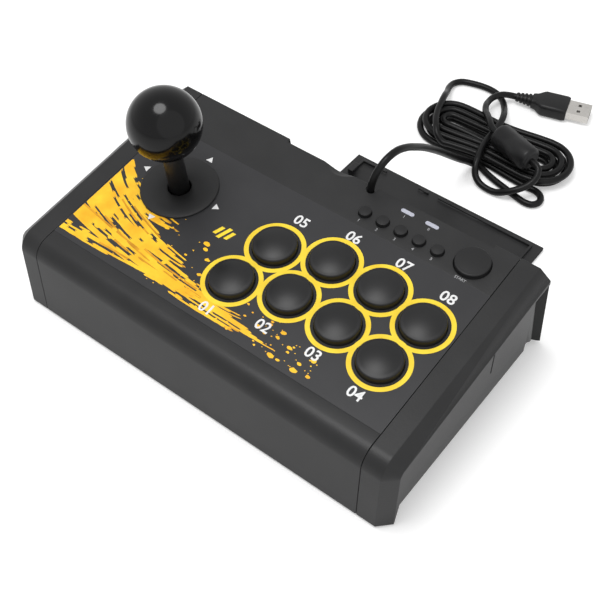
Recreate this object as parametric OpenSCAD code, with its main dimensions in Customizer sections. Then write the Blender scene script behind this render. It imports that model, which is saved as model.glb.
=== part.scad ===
// Arcade fight stick: a sloping tabletop box with a ball-top stick on the left, eight
// round action buttons on the right, a row of small buttons behind them, and a cable bay
// in the back whose door folds down on to the table. The USB lead lies behind it in a hank.
// X runs to the player's right, Y away from the player, Z up. The floor is Z = 0.
// Inside this file Y is measured from the front seam of the printed panel, and every node
// is moved back by y_mid at the end, so that the box stands centred on the origin.

/* [Body] */
// Width between the seams of the two end caps
panel_w = 190.6; // [170:0.2:230]
// Width of each end cap, from its seam to its side face
cap_w = 15.9; // [12:0.1:22]
// Height of the deck above the floor at the panel's front seam
front_h = 46; // [40:0.5:60]
// Slope of the deck, in degrees
slope = 6; // [2:0.5:10]
// Length of the deck up the slope, from the panel's front seam to the rear edge
deck_d = 110.5; // [108:0.5:130]
// Reach of the front face ahead of the panel's front seam, at deck height
front_reach = 13.2; // [11:0.2:20]
// Lean of the front face, in degrees
front_lean = 2.2; // [0:0.1:6]
// Radius of the rolled front edge
roll_r = 9.5; // [5:0.5:12]
// How far the foot of the rear wall stands behind the deck's rear edge
rear_sweep = 10.1; // [4:0.1:16]
// Wall of the outer shells
wall = 2.4; // [1.8:0.1:3]
// Width of the bevel along each end cap
bevel = 5.8; // [3:0.1:8]
// Height of the side arch between the front and rear legs
arch_h = 13.5; // [8:0.5:18]
// Height of the rubber feet under the base
foot_h = 1.2; // [0.8:0.1:3]
// Diameter of a rubber foot
foot_d = 14; // [8:0.5:20]

/* [Printed panel] */
// Length of the printed overlay up the slope
overlay_d = 84.4; // [80:0.2:90]
// Thickness of the printed overlay
overlay_t = 0.5; // [0.3:0.1:1]

/* [Action buttons] */
// Pitch of the action buttons in a row
button_pitch = 27.4; // [26:0.1:28]
// Diameter of an action button's cap
cap_d = 21.2; // [18:0.2:22]
// Height of a cap's rim over the panel
cap_rise = 3; // [2:0.1:4]
// Height of the dome on a cap
cap_crown = 1.9; // [1:0.1:3]
// Travel of an action button
cap_travel = 2.4; // [1:0.1:2.6]
// Diameter of the hole under an action button's bezel
button_hole_d = 24.2; // [23:0.1:25]

/* [Small buttons] */
// Pitch of the five small buttons
small_pitch = 10.15; // [9:0.05:11]
// Diameter of a small button
small_d = 6.2; // [5:0.1:7]
// Height of a small button over the deck
small_rise = 2; // [1:0.1:3]
// Diameter of the start button
start_d = 17; // [12:0.5:18]
// Height of the start button over the deck
start_rise = 2.4; // [1:0.1:3]
// Travel of the small buttons and the start button
small_travel = 0.8; // [0.4:0.1:1]

/* [Stick] */
// Diameter of the ball knob
ball_d = 35.2; // [30:0.2:40]
// Height of the ball's centre over the deck
ball_h = 44.1; // [38:0.5:55]
// Diameter of the sleeve on the shaft
sleeve_d = 10; // [8:0.2:11]
// Diameter of the steel shaft
shaft_d = 6; // [5:0.2:7]
// Diameter of the dust washer on the deck
washer_d = 39; // [36:0.5:42]
// Depth of the stick's pivot under the deck
pivot_depth = 20; // [18:0.5:21]
// Largest tilt of the stick each way, in degrees
tilt_max = 12; // [6:1:12]

/* [Rear door and cable bay] */
// Width of the rear door
door_w = 119; // [90:0.5:125]
// Place of the middle of the rear door, to the right of the body's middle
door_x = 22.5; // [10:0.5:25]
// Thickness of the rear door
door_t = 2; // [1.6:0.1:2.6]
// Diameter of the door's hinge pin
pin_d = 2.4; // [2:0.1:3]
// Depth of the cable bay
bay_d = 36; // [25:0.5:38]
// Height of the cable bay inside
bay_h = 36; // [28:0.5:37]

/* [Cord] */
// Diameter of the cord
cord_d = 3.8; // [3.4:0.1:4]
// Length of the ferrite bead on the cord
ferrite_l = 27; // [24:0.5:30]
// Diameter of the ferrite bead
ferrite_d = 14.4; // [12:0.2:16]

/* [Hidden] */
$fn = 48;

// Shared fits
gap = 0.3;
slip = 0.1;
fit = 0.05;
over = 1;
eps = 0.01;

// Body section, in Y and Z
body_floor = foot_h;
rear_y = deck_d * cos(slope);
rear_z = front_h + deck_d * sin(slope);
rear_lean = atan(rear_sweep / (rear_z - body_floor));
roll_steps = 10;
body_w = panel_w + 2 * cap_w;
half_w = body_w / 2;
seam_x = panel_w / 2;
strip_w = cap_w - bevel;

// The front face and the deck, both set in by i, meet here
function front_corner(i) =
    let (c = i - cos(front_lean) * front_reach, d = cos(front_lean + slope))
    [
        (c * cos(slope) - sin(front_lean) * i) / d,
        front_h + (sin(slope) * c - cos(front_lean) * i) / d
    ];

// The rear face and the deck, both set in by i, meet here
function rear_corner(i, j) =
    let (a = cos(rear_lean) * rear_y + sin(rear_lean) * (rear_z - front_h) - i, d = cos(rear_lean - slope))
    [
        (a * cos(slope) + sin(rear_lean) * j) / d,
        front_h + (sin(slope) * a - cos(rear_lean) * j) / d
    ];

function front_foot(i, z) =
    [i / cos(front_lean) - front_reach - (front_h - z) * tan(front_lean), z];
function rear_foot(i, z) = [rear_y + (rear_z - z) * tan(rear_lean) - i / cos(rear_lean), z];

// Outline of the body's section: set in by i at the front and deck, and by j at the rear
function outline(i, j, z) =
    let (c = front_corner(roll_r), r = max(roll_r - i, fit), a0 = 180 - front_lean, a1 = 90 + slope)
    concat(
        [front_foot(i, z)],
        [
            for (k = [0 : roll_steps])
                let (a = a0 + (a1 - a0) * k / roll_steps)
                [c[0] + r * cos(a), c[1] + r * sin(a)]
        ],
        [rear_corner(j, i), rear_foot(j, z)]
    );

// Door, hinge and bay
door_x0 = door_x - door_w / 2;
door_x1 = door_x + door_w / 2;
knuckle_d = 2 * pin_d + slip;
door_clear = 0.4;
pin_z = door_clear + knuckle_d / 2 + slip;
pin_drop = pin_z - door_clear;
pin_y = rear_foot(pin_drop, pin_z)[0];
door_angle = 90 + rear_lean;
echo(door_closes_at = door_angle);
door_start = knuckle_d / 2 + 2 * gap;
door_reach = (rear_z - pin_z) / cos(rear_lean) - 2 * gap;
door_far = pin_y + door_reach;
y_mid = (door_far + front_foot(0, body_floor)[0]) / 2;
seat = door_t + gap;
plate_t = 2.2;
plate_top = body_floor + plate_t;
bay_wall = 1.6;
bay_x0 = door_x0 + 3 * bay_wall;
bay_x1 = door_x1 - 3 * bay_wall;
bay_floor_z = plate_top + slip;
bay_in_z0 = bay_floor_z + bay_wall;
bay_in_z1 = bay_in_z0 + bay_h;
bay_y0 = rear_y - bay_d;
hinge_shares = [-0.465, -0.19, 0.19, 0.465];
lug_l = 8;
lip_t = 1.2;
lip_h = 1.6;
lip_in = wall + 2 * gap;

// Deck furniture, in the deck's own x and v
overlay_gap = slip;
function deck_at(share) = [share[0] * panel_w, share[1] * deck_d];
button_first_share = [-0.0283, 0.2317];
button_first = deck_at(button_first_share);
lower_shares = [[0, 0], [0.985, 0.295], [1.982, 0.285], [2.938, 0.096]];
row_shift_share = [0.167, 0.958];
button_places = [
    for (row = [0, 1])
        for (s = lower_shares)
            button_first + button_pitch * (s + row * row_shift_share)
];
bezel_wall = 1;
cap_gap = 0.35;
bezel_depth = 3.8;
flange_t = 1.4;
flange_over = 1.1;
stem_d = 6;
board_depth = 16.5;
board_t = 1.6;
sheet_t = 0.8;
dome_d = 9;
dome_rest = 2.6;
dome_h = cap_travel + dome_rest;
small_first_share = [0.1133, 0.8353];
small_first = deck_at(small_first_share);
small_places = [for (k = [0 : 4]) small_first + [k * small_pitch, 0]];
start_share = [0.415, 0.8633];
start_place = deck_at(start_share);
led_shares = [[0.1994, 0.9394], [0.2712, 0.9394]];
led_places = [for (s = led_shares) deck_at(s)];
led_l = 7.4;
led_w = 2.3;
small_board_depth = 9.4;
small_dome_rest = 1.4;
small_dome_h = small_travel + small_dome_rest;
small_dome_d = 3.4;
key_flange_low = wall + gap + flange_t / 2;
board_margin = 2.5;

// Cord exit in the deck's rear edge
exit_x = 15.4;
exit_r = cord_d / 2 + 2 * gap;
exit_y = rear_y - seat / cos(rear_lean) - cord_d / 2 - gap;
bay_up_y = exit_y - exit_r;
scoop_r = 20;
scoop_depth = 3;
pad_depth = scoop_depth + wall / 2;
scoop_share = [-0.0262, 1.0317];
scoop_place = deck_at(scoop_share);
grommet_z = 34;
grommet_d = 9;
grommet_l = 5;

// Stick
stick_share = [-0.3269, 0.4932];
stick_place = deck_at(stick_share);
deck_hole_r = 12.2;
sleeve_low = 8;
washer_t = 1.1;
washer_play = 0.8;
bracket_w = 50;
bracket_t = 2;
bracket_depth = 5.2;
housing_r = 16;
housing_wall = 2;
housing_l = 22;
ring_r = 12.4;
ring_wall = 3.4;
ring_h = 6;
trunnion_d = 3;
hub_d = 13;
actuator_d = 11;
actuator_collar_d = 15.2;
collar_t = 1;
actuator_top = 33;
actuator_l = 10;
switch_in = 11.8;
switch_w = 6.4;
switch_l = 19.6;
switch_h = 6.4;
lever_t = 0.4;
clip_t = 0.7;
clip_d = 10;
shaft_low = 45;
gate_w = 46;
gate_t = 1.5;
spring_wire = 1;
spring_d = 14;
spring_turns = 5;
post_d = 4.6;

// Screws and feet
screw_d = 2.6;
screw_head_d = 5;
screw_head_t = 1.6;
boss_d = 7;
post_shares = [[-0.44, 0.02], [0, 0.02], [0.44, 0.02], [-0.44, 0.84], [-0.26, 0.87], [0.435, 0.71]];
foot_shares = [[-0.36, 0.02], [0.36, 0.02], [-0.36, 0.83], [0.36, 0.83]];

black = [0.12, 0.12, 0.125];
charcoal = [0.26, 0.26, 0.265];
dark = [0.18, 0.18, 0.185];
print_grey = [0.2, 0.2, 0.205];
steel = [0.7, 0.7, 0.72];
board_green = [0.05, 0.3, 0.15];
silicone = [0.55, 0.56, 0.58];

// Helpers
module place() translate([0, -y_mid, 0]) children();

module on_deck(p = [0, 0], n = 0)
    place()
        translate([p[0], p[1] * cos(slope) - n * sin(slope), front_h + p[1] * sin(slope) + n * cos(slope)])
            rotate([slope, 0, 0]) children();

module along_x(x0, x1)
    translate([x0, 0, 0]) rotate([90, 0, 90]) linear_extrude(x1 - x0) children();

module slot(l, w, h) {
    translate([-(l - w) / 2, -w / 2, 0]) cube([l - w, w, h]);
    for (s = [-1, 1]) translate([s * (l - w) / 2, 0, 0]) cylinder(d = w, h = h, $fn = 24);
}

module tube_ring(ro, ri, h) difference() {
    cylinder(r = ro, h = h);
    translate([0, 0, -over]) cylinder(r = ri, h = h + 2 * over);
}

function unit(v) = v / norm(v);

function tangents(p) = [
    for (i = [0 : len(p) - 1])
        i == 0 ? unit(p[1] - p[0])
        : i == len(p) - 1 ? unit(p[i] - p[i - 1])
        : unit(unit(p[i + 1] - p[i]) + unit(p[i] - p[i - 1]))
];

function square_to(v, t) = unit(v - (v * t) * t);

function frames(t) =
    let (seed = abs(t[0][2]) > 0.9 ? [1, 0, 0] : [0, 0, 1])
    [for (i = 0, n = square_to(seed, t[0]); i < len(t); i = i + 1,
        n = i < len(t) ? square_to(n, t[i]) : n) n];

// One closed tube through the points p
module cord_tube(p, r, sides) {
    t = tangents(p);
    n = frames(t);
    last = len(p) - 1;
    polyhedron(
        points = [
            for (i = [0 : last])
                for (j = [0 : sides - 1])
                    let (a = 360 * (j + 0.5) / sides)
                    p[i] + r * (cos(a) * n[i] + sin(a) * cross(t[i], n[i]))
        ],
        faces = concat(
            [[for (j = [0 : sides - 1]) j]],
            [[for (j = [sides - 1 : -1 : 0]) last * sides + j]],
            [
                for (i = [0 : last - 1])
                    for (j = [0 : sides - 1])
                        let (k = (j + 1) % sides)
                        for (f = [
                            [i * sides + j, (i + 1) * sides + j, i * sides + k],
                            [i * sides + k, (i + 1) * sides + j, (i + 1) * sides + k]
                        ]) f
            ]
        ),
        convexity = 6
    );
}

// Body shells
module section(i, j, z) polygon(outline(i, j, z));

module boss_at(s, h0, r) {
    x = s[0] * panel_w;
    y = s[1] * rear_y;
    translate([x, y, h0]) cylinder(r = r, h = front_h + y * tan(slope) - wall / 2 - h0, $fn = 24);
}

module button_holes(r, n0, h)
    for (p = button_places) on_deck(p, n0) cylinder(r = r, h = h);

module top_shell() color(charcoal) {
    difference() {
        union() {
            place() {
                difference() {
                    along_x(slip - seam_x, seam_x - slip) section(0, 0, body_floor);
                    along_x(-seam_x, seam_x) section(wall, wall, body_floor - over);
                    // The rear wall is open at the door, under a thinned edge of the deck
                    along_x(door_x0 - gap, door_x1 + gap)
                        polygon([
                            rear_foot(2 * wall, body_floor - over),
                            rear_corner(2 * wall, wall / 2),
                            rear_corner(-over, wall / 2),
                            rear_foot(-over, body_floor - over)
                        ]);
                }
                for (s = post_shares) boss_at(s, plate_top + slip, boss_d / 2);
            }
            // A thicker pad under the finger scoop
            intersection() {
                on_deck([scoop_place[0], rear_y - wall], -pad_depth)
                    translate([-scoop_r / 2, -scoop_r / 2, 0])
                        cube([scoop_r, scoop_r, pad_depth - wall / 2]);
                place() along_x(-seam_x, seam_x) section(wall / 2, fit, body_floor);
            }
            for (s = [[-1, -1], [-1, 1], [1, -1], [1, 1]])
                on_deck(button_board_mid + [s[0] * board_half[0], s[1] * board_half[1]],
                    -board_depth + slip)
                    cylinder(d = post_d, h = board_depth - slip - wall / 2, $fn = 20);
            for (s = [-1, 1])
                on_deck(small_board_mid + [s * small_half, 0], -small_board_depth + slip)
                    cylinder(d = post_d, h = small_board_depth - slip - wall / 2, $fn = 20);
        }
        // The deck's edge is set in for the closed door
        place() along_x(door_x0 - gap, door_x1 + gap)
            polygon([
                rear_foot(seat, body_floor - over),
                rear_foot(seat, rear_z + over),
                rear_foot(-over, rear_z + over),
                rear_foot(-over, body_floor - over)
            ]);
        // Recess of the printed overlay
        on_deck([0, 0], -overlay_t) translate([-seam_x - over, 0, 0])
            cube([panel_w + 2 * over, overlay_d, wall]);
        button_holes(button_hole_d / 2 + fit, -wall - over, wall + 2 * over);
        on_deck(stick_place, -wall - over) cylinder(r = deck_hole_r, h = wall + 2 * over);
        for (p = small_places) on_deck(p, -wall - over)
            cylinder(d = small_d + gap, h = wall + 2 * over, $fn = 24);
        on_deck(start_place, -wall - over) cylinder(d = start_d + 2 * gap, h = wall + 2 * over);
        for (p = led_places) on_deck(p, -wall - over) slot(led_l, led_w, wall + 2 * over);
        // Notch that the cord leaves through
        place() translate([exit_x, exit_y, rear_z - 3 * wall]) {
            cylinder(r = exit_r, h = 4 * wall);
            translate([-exit_r, 0, 0]) cube([2 * exit_r, rear_sweep, 4 * wall]);
        }
        // Finger scoop in front of the door
        on_deck(scoop_place, scoop_r - scoop_depth) sphere(r = scoop_r, $fn = 64);
        place() for (s = post_shares)
            translate([s[0] * panel_w, s[1] * rear_y, body_floor])
                cylinder(d = screw_d - gap, h = front_h / 2, $fn = 20);
    }
}

module deck_overlay() color(print_grey) difference() {
    on_deck([0, 0], -overlay_t)
        translate([overlay_gap - seam_x, overlay_gap, 0])
            cube([panel_w - 2 * overlay_gap, overlay_d - 2 * overlay_gap, overlay_t]);
    button_holes(button_hole_d / 2 + fit, -wall, 2 * wall);
    on_deck(stick_place, -wall) cylinder(r = deck_hole_r, h = 2 * wall);
}

// End caps: the section, then a bevel, then the side face; the rear corner is turned in under the top edge
cap_lip = 3;
corner_r = 12;
corner_in = 1.2;
groove_w = 0.8;
groove_share = [0.573, 0.717];
groove_y = groove_share[0] * rear_y;
groove_z = groove_share[1] * front_h;

module cap_solid(i) hull() {
    along_x(seam_x + (i > 0 ? -over : slip), half_w - bevel - i)
        section(i, i, body_floor - (i > 0 ? over : 0));
    along_x(half_w - i - eps, half_w - i) section(bevel + i, i, body_floor - (i > 0 ? over : 0));
}

// The rear corner is a column, rounded below a lip under the top edge
column_y = rear_y - corner_r;
module end_cap_right() color(charcoal) place() {
    difference() {
        cap_solid(0);
        difference() {
            cap_solid(wall);
            translate([half_w - bevel - strip_w / 2, column_y - wall, -over])
                cube([bevel + strip_w, corner_r + rear_sweep + wall + over, rear_z + over]);
        }
        // Arch between the legs
        along_x(half_w - bevel - strip_w - over, half_w + over)
            polygon([
                front_foot(bevel + gap, body_floor - over),
                front_foot(bevel + gap, body_floor),
                front_foot(bevel + wall + 2 * gap, arch_h),
                rear_foot(corner_r + wall, arch_h),
                rear_foot(wall + gap, body_floor),
                rear_foot(wall + gap, body_floor - over)
            ]);
        difference() {
            translate([half_w - corner_r, column_y, -over])
                cube([corner_r + over, corner_r + rear_sweep + over, rear_z - bevel - cap_lip + over]);
            // Leaning round column that stays
            translate([half_w - corner_r - corner_in, rear_foot(corner_r + corner_in, 0)[0], 0])
                rotate([rear_lean, 0, 0]) translate([0, 0, -corner_r]) {
                    cylinder(r = corner_r, h = rear_z + 2 * corner_r, $fn = 32);
                    translate([-corner_r, -2 * corner_r, 0])
                        cube([2 * corner_r - gap / 2, 2 * corner_r, rear_z + 2 * corner_r]);
                }
        }
        // Slot in the side face
        translate([half_w - wall / 3, groove_y, groove_z])
            cube([wall, groove_w, front_h + groove_y * tan(slope) - bevel - gap - groove_z]);
    }
    cap_ties();
}

// Tongues that slide in under the deck and over the base
tie_l = 7;
tie_t = 3;
tie_w = 14;
tie_shares = [0.22, 0.64];

module cap_ties()
    for (s = tie_shares)
        translate([seam_x - tie_l, s * rear_y, front_h + s * rear_y * tan(slope)])
            rotate([slope, 0, 0]) {
                translate([0, 0, -wall - tie_t - slip]) cube([tie_l + 2 * wall, tie_w, tie_t]);
                translate([tie_l + gap, 0, -wall - tie_t]) cube([2 * wall - gap, tie_w, tie_t + wall / 2]);
            }

module end_cap_left() mirror([1, 0, 0]) end_cap_right();

// Base with its feet, bosses and hinge lugs
base_in = 2 * gap;
skirt_h = arch_h + wall;
module base_tray() color(dark) place() difference() {
    union() {
        translate([base_in - seam_x, front_foot(wall + gap, body_floor)[0], body_floor])
            cube([panel_w - 2 * base_in, pin_y - knuckle_d - front_foot(wall + gap, body_floor)[0],
                plate_t]);
        // Upstanding rim along the front and the sides
        translate([base_in - seam_x, front_foot(wall + gap, body_floor)[0] + wall, plate_top - eps])
            cube([panel_w - 2 * base_in, wall, wall]);
        // Side walls that close the body behind the arches
        for (s = [-1, 1])
            translate([s * (seam_x - base_in - wall / 2) - wall / 2,
                front_foot(wall + gap, body_floor)[0] + wall, plate_top - eps])
                cube([wall, rear_y - 2 * wall, skirt_h]);
        for (s = hinge_shares)
            translate([door_x + s * door_w - lug_l / 2, 0, 0]) {
                translate([0, pin_y, pin_z]) rotate([0, 90, 0])
                    cylinder(d = knuckle_d, h = lug_l, $fn = 32);
                translate([0, pin_y - knuckle_d - over, body_floor])
                    cube([lug_l, knuckle_d + over, plate_t]);
            }
        // Rear strip beside the door
        translate([base_in - seam_x, pin_y - knuckle_d - over, body_floor])
            cube([door_x0 - gap + seam_x - base_in - wall,
                rear_foot(wall + gap, plate_top)[0] - pin_y + knuckle_d + over, plate_t]);
        translate([door_x1 + gap + wall, pin_y - knuckle_d - over, body_floor])
            cube([seam_x - base_in - door_x1 - gap - wall,
                rear_foot(wall + gap, plate_top)[0] - pin_y + knuckle_d + over, plate_t]);
    }
    translate([door_x0 - wall, pin_y, pin_z]) rotate([0, 90, 0])
        cylinder(d = pin_d + 2 * fit, h = door_w + 2 * wall, $fn = 32);
    for (s = post_shares)
        translate([s[0] * panel_w, s[1] * rear_y, 0]) {
            cylinder(d = screw_d + gap, h = plate_top + over, $fn = 20);
            translate([0, 0, -over])
                cylinder(d = screw_head_d + gap, h = body_floor + screw_head_t + over, $fn = 20);
        }
}

module case_screws() color(steel) place()
    for (s = post_shares)
        translate([s[0] * panel_w, s[1] * rear_y, body_floor]) {
            cylinder(d = screw_head_d, h = screw_head_t, $fn = 20);
            cylinder(d = screw_d - 2 * gap, h = front_h / 3, $fn = 16);
        }

module rubber_feet() color(black) place()
    for (s = foot_shares)
        translate([s[0] * panel_w, s[1] * rear_y, 0]) {
            cylinder(d1 = foot_d - foot_h, d2 = foot_d, h = foot_h / 2);
            translate([0, 0, foot_h / 2]) cylinder(d = foot_d, h = foot_h / 2);
        }

// Cable bay: a liner that opens at the back, deep below and shallow behind the small buttons
module bay_box(x, y, z0, z1)
    translate([bay_x0 - x, y - x, z0])
        cube([bay_x1 - bay_x0 + 2 * x, rear_y + rear_sweep + over - y + x, z1 - z0]);

module bay_liner() difference() {
    union() {
        intersection() {
            bay_box(bay_wall, bay_y0, bay_floor_z, bay_in_z1 + bay_wall);
            along_x(-seam_x, seam_x) section(wall, seat + slip, 0);
        }
        intersection() {
            bay_box(bay_wall, bay_up_y, bay_in_z1, rear_z);
            along_x(-seam_x, seam_x) section(wall + gap, seat + slip, 0);
        }
        // Flange beside the opening, inside the rear wall
        along_x(door_x0 - lug_l / 2, door_x1 + lug_l / 2)
            polygon([
                rear_foot(seat + slip, bay_floor_z),
                rear_foot(seat + slip, rear_z - wall - 2 * gap),
                rear_foot(seat + slip + bay_wall, rear_z - wall - 2 * gap),
                rear_foot(seat + slip + bay_wall, bay_floor_z)
            ]);
    }
    bay_box(0, bay_y0, bay_in_z0, bay_in_z1);
    bay_box(0, bay_up_y, bay_in_z1 - over, rear_z + over);
    // Room for the hinge
    translate([door_x0 - lug_l, pin_y - knuckle_d / 2 - 2 * gap, 0])
        cube([door_w + 2 * lug_l, rear_sweep, pin_z + knuckle_d / 2 + gap]);
    // Hole of the cord's grommet
    translate([exit_x, bay_y0 + over, grommet_z]) rotate([90, 0, 0])
        cylinder(d = grommet_d - wall, h = bay_wall + 2 * over);
}

module cable_bay() color(dark) difference() {
    place() bay_liner();
    // The top edge is cut down under the start key and under the scoop's pad
    on_deck(start_place, -key_flange_low - small_travel - 2 * gap)
        cylinder(r = start_d / 2 + flange_over + 2 * gap, h = key_flange_low);
    on_deck([scoop_place[0], rear_y - wall], -pad_depth - 2 * gap)
        translate([-scoop_r / 2 - 2 * gap, -scoop_r / 2 - 2 * gap, 0])
            cube([scoop_r + 4 * gap, 2 * scoop_r, pad_depth]);
}

// Rear door, drawn open on the table
catch_w = 7;
catch_h = 6;
catch_place_share = 0.72;

module rear_door() color(charcoal) place() difference() {
    union() {
        translate([door_x0, pin_y + door_start, door_clear])
            cube([door_w, door_reach - door_start, door_t]);
        // Knuckles between the lugs, each on its own web
        for (k = [0 : 2])
            translate([door_x + hinge_shares[k] * door_w + lug_l / 2 + gap, 0, 0]) {
                l = (hinge_shares[k + 1] - hinge_shares[k]) * door_w - lug_l - 2 * gap;
                translate([0, pin_y, pin_z]) rotate([0, 90, 0]) cylinder(d = knuckle_d, h = l, $fn = 32);
                translate([0, pin_y, door_clear]) cube([l, door_start + over, door_t]);
            }
        // Raised lip along the far edge and the two sides, open for the scoop's pad and the cord
        difference() {
            translate([door_x0 + bay_wall * 3 + gap, door_far - lip_in - lip_t, door_clear])
                cube([door_w - 6 * bay_wall - 2 * gap, lip_t, door_t + lip_h]);
            for (s = [[scoop_place[0], scoop_r / 2], [exit_x, exit_r]])
                translate([s[0] - s[1] - 2 * gap, door_far - lip_in - 2 * lip_t, door_clear + door_t])
                    cube([2 * s[1] + 4 * gap, 3 * lip_t, lip_h + over]);
        }
        for (s = [-1, 1])
            translate([door_x + s * (door_w / 2 - 3 * bay_wall - gap - lip_t / 2) - lip_t / 2,
                pin_y + door_reach / 2, door_clear])
                cube([lip_t, door_reach / 2 - lip_in, door_t + lip_h]);
        // Snap catch on the left
        translate([door_x0 + bay_wall * 3 + gap, pin_y + catch_place_share * door_reach - catch_w / 2,
            door_clear + door_t - eps]) {
            cube([lip_t, catch_w, catch_h]);
            translate([0, 0, catch_h - lip_t]) cube([catch_w / 3 + lip_t, catch_w, lip_t]);
        }
    }
    translate([door_x0 - over, pin_y, pin_z]) rotate([0, 90, 0])
        cylinder(d = pin_d + 2 * fit, h = door_w + 2 * over, $fn = 32);
}

module door_hinge_pin() color(steel) place()
    translate([door_x + hinge_shares[0] * door_w - lug_l / 2, pin_y, pin_z])
        rotate([0, 90, 0])
            cylinder(d = pin_d, h = (hinge_shares[3] - hinge_shares[0]) * door_w + lug_l, $fn = 32);

// Action buttons
bezel_r = button_hole_d / 2 - fit;
module button_bezels() color(black)
    for (p = button_places)
        on_deck(p, -bezel_depth) {
            tube_ring(bezel_r, cap_d / 2 + cap_gap, bezel_depth + slip);
            // Collar that hooks under the deck
            tube_ring(bezel_r + bezel_wall / 2, bezel_r - bezel_wall / 2, bezel_depth - wall - slip);
        }

module button_cap(k) color(black) {
    crown_r = (pow(cap_d / 2, 2) + pow(cap_crown, 2)) / (2 * cap_crown);
    on_deck(button_places[k - 1], 0) difference() {
        union() {
            intersection() {
                translate([0, 0, -bezel_depth - slip])
                    cylinder(d = cap_d, h = bezel_depth + slip + cap_rise + cap_crown);
                translate([0, 0, cap_rise + cap_crown - crown_r]) sphere(r = crown_r, $fn = 72);
            }
            translate([0, 0, -bezel_depth - gap - flange_t])
                cylinder(r = cap_d / 2 + flange_over, h = flange_t);
            translate([0, 0, -bezel_depth - gap - eps]) cylinder(d = cap_d, h = gap + slip + 2 * eps);
        }
        // Hollow under the cap
        translate([0, 0, -bezel_depth - gap - flange_t - over])
            cylinder(r = cap_d / 2 - wall / 2,
                h = bezel_depth + gap + flange_t + over + cap_rise - wall / 2);
    }
    // Stem that presses the dome
    on_deck(button_places[k - 1], stem_low)
        cylinder(d = stem_d, h = cap_rise - stem_low, $fn = 24);
}
stem_low = -board_depth + sheet_t + dome_h + gap;

// Boards and silicone sheets
button_board_mid = button_first + button_pitch * [1.5, 0.55];
board_half = [button_pitch * 1.98, button_pitch * 0.92];

module board_slab(mid, half, n, t) on_deck(mid, n)
    translate([-half[0] - board_margin, -half[1] - board_margin, 0])
        cube([2 * (half[0] + board_margin), 2 * (half[1] + board_margin), t]);

module button_board() color(board_green) difference() {
    board_slab(button_board_mid, board_half, -board_depth - board_t, board_t);
    for (s = [[-1, -1], [-1, 1], [1, -1], [1, 1]])
        on_deck(button_board_mid + [s[0] * board_half[0], s[1] * board_half[1]],
            -board_depth - board_t - over)
            cylinder(d = screw_d, h = board_t + 2 * over, $fn = 20);
}

module dome_shell(p, n, d, h) on_deck(p, n)
    cylinder(d1 = d, d2 = d * 0.7, h = h, $fn = 24);

module button_domes() color(silicone) {
    board_slab(button_board_mid, board_half - (post_d / 2 + board_margin + gap) * [1, 1], -board_depth,
        sheet_t);
    for (p = button_places) dome_shell(p, -board_depth + sheet_t - eps, dome_d, dome_h);
}

module board_screws() color(steel) {
    for (s = [[-1, -1], [-1, 1], [1, -1], [1, 1]])
        on_deck(button_board_mid + [s[0] * board_half[0], s[1] * board_half[1]],
            -board_depth - board_t - screw_head_t)
            cylinder(d = screw_head_d, h = screw_head_t, $fn = 20);
    for (s = [-1, 1])
        on_deck(small_board_mid + [s * small_half, 0], -small_board_depth - board_t - screw_head_t)
            cylinder(d = screw_head_d, h = screw_head_t, $fn = 20);
}

small_board_share = [0.2723, 0.8326];
small_board_mid = deck_at(small_board_share);
small_half = 0.2067 * panel_w;
small_board_w = 7;

module small_board() color(board_green)
    board_slab(small_board_mid, [small_half, small_board_w / 2], -small_board_depth - board_t, board_t);

module small_domes() color(silicone) {
    on_deck(small_board_mid, -small_board_depth)
        translate([post_d - small_half, -(small_board_w + small_dome_d) / 2, 0])
            cube([2 * (small_half - post_d), small_board_w + small_dome_d, sheet_t]);
    for (p = concat(small_places, [start_place]))
        dome_shell(p, -small_board_depth + sheet_t - eps, small_dome_d, small_dome_h);
}

// A small button: a cap over a wider flange that stays under the deck
module small_key(p, d, rise) color(black) on_deck(p) {
    low = -small_board_depth + sheet_t + small_dome_h + gap;
    translate([0, 0, -key_flange_low]) cylinder(d = d + 2 * flange_over, h = flange_t / 2);
    translate([0, 0, -key_flange_low]) cylinder(d = d, h = key_flange_low + rise - key_edge);
    translate([0, 0, rise - key_edge]) cylinder(d1 = d, d2 = d - 2 * key_edge, h = key_edge);
    translate([0, 0, low]) cylinder(d = small_dome_d * 0.8, h = -wall - low, $fn = 20);
}
key_edge = 0.5;

module led_lenses() color([0.85, 0.85, 0.95])
    for (p = led_places) on_deck(p, -wall - slip)
        slot(led_l - 2 * slip, led_w - 2 * slip, wall + slip);

// Main board with its controller, connector and capacitor, on the base
main_share = [-0.2309, 0.0181];
main_place = deck_at(main_share);
main_size = [0.294 * panel_w, 0.2172 * deck_d];
module main_board() color(board_green) place() {
    translate([main_place[0] - main_size[0] / 2, main_place[1] - front_reach / 2, plate_top + post_d]) {
        cube([main_size[0], main_size[1], board_t]);
        for (s = [[0.1, 0.15], [0.9, 0.15], [0.1, 0.85], [0.9, 0.85]])
            translate([s[0] * main_size[0], s[1] * main_size[1], slip - post_d])
                cylinder(d = post_d, h = post_d, $fn = 20);
        translate([main_size[0] * 0.35, main_size[1] * 0.3, board_t])
            cube([post_d * 2, post_d * 2, board_t]);
        translate([main_size[0] * 0.75, main_size[1] * 0.55, board_t])
            cylinder(d = post_d, h = post_d, $fn = 24);
        translate([main_size[0] * 0.08, main_size[1] * 0.35, board_t]) cube([post_d, post_d * 1.6, post_d]);
    }
}

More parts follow.
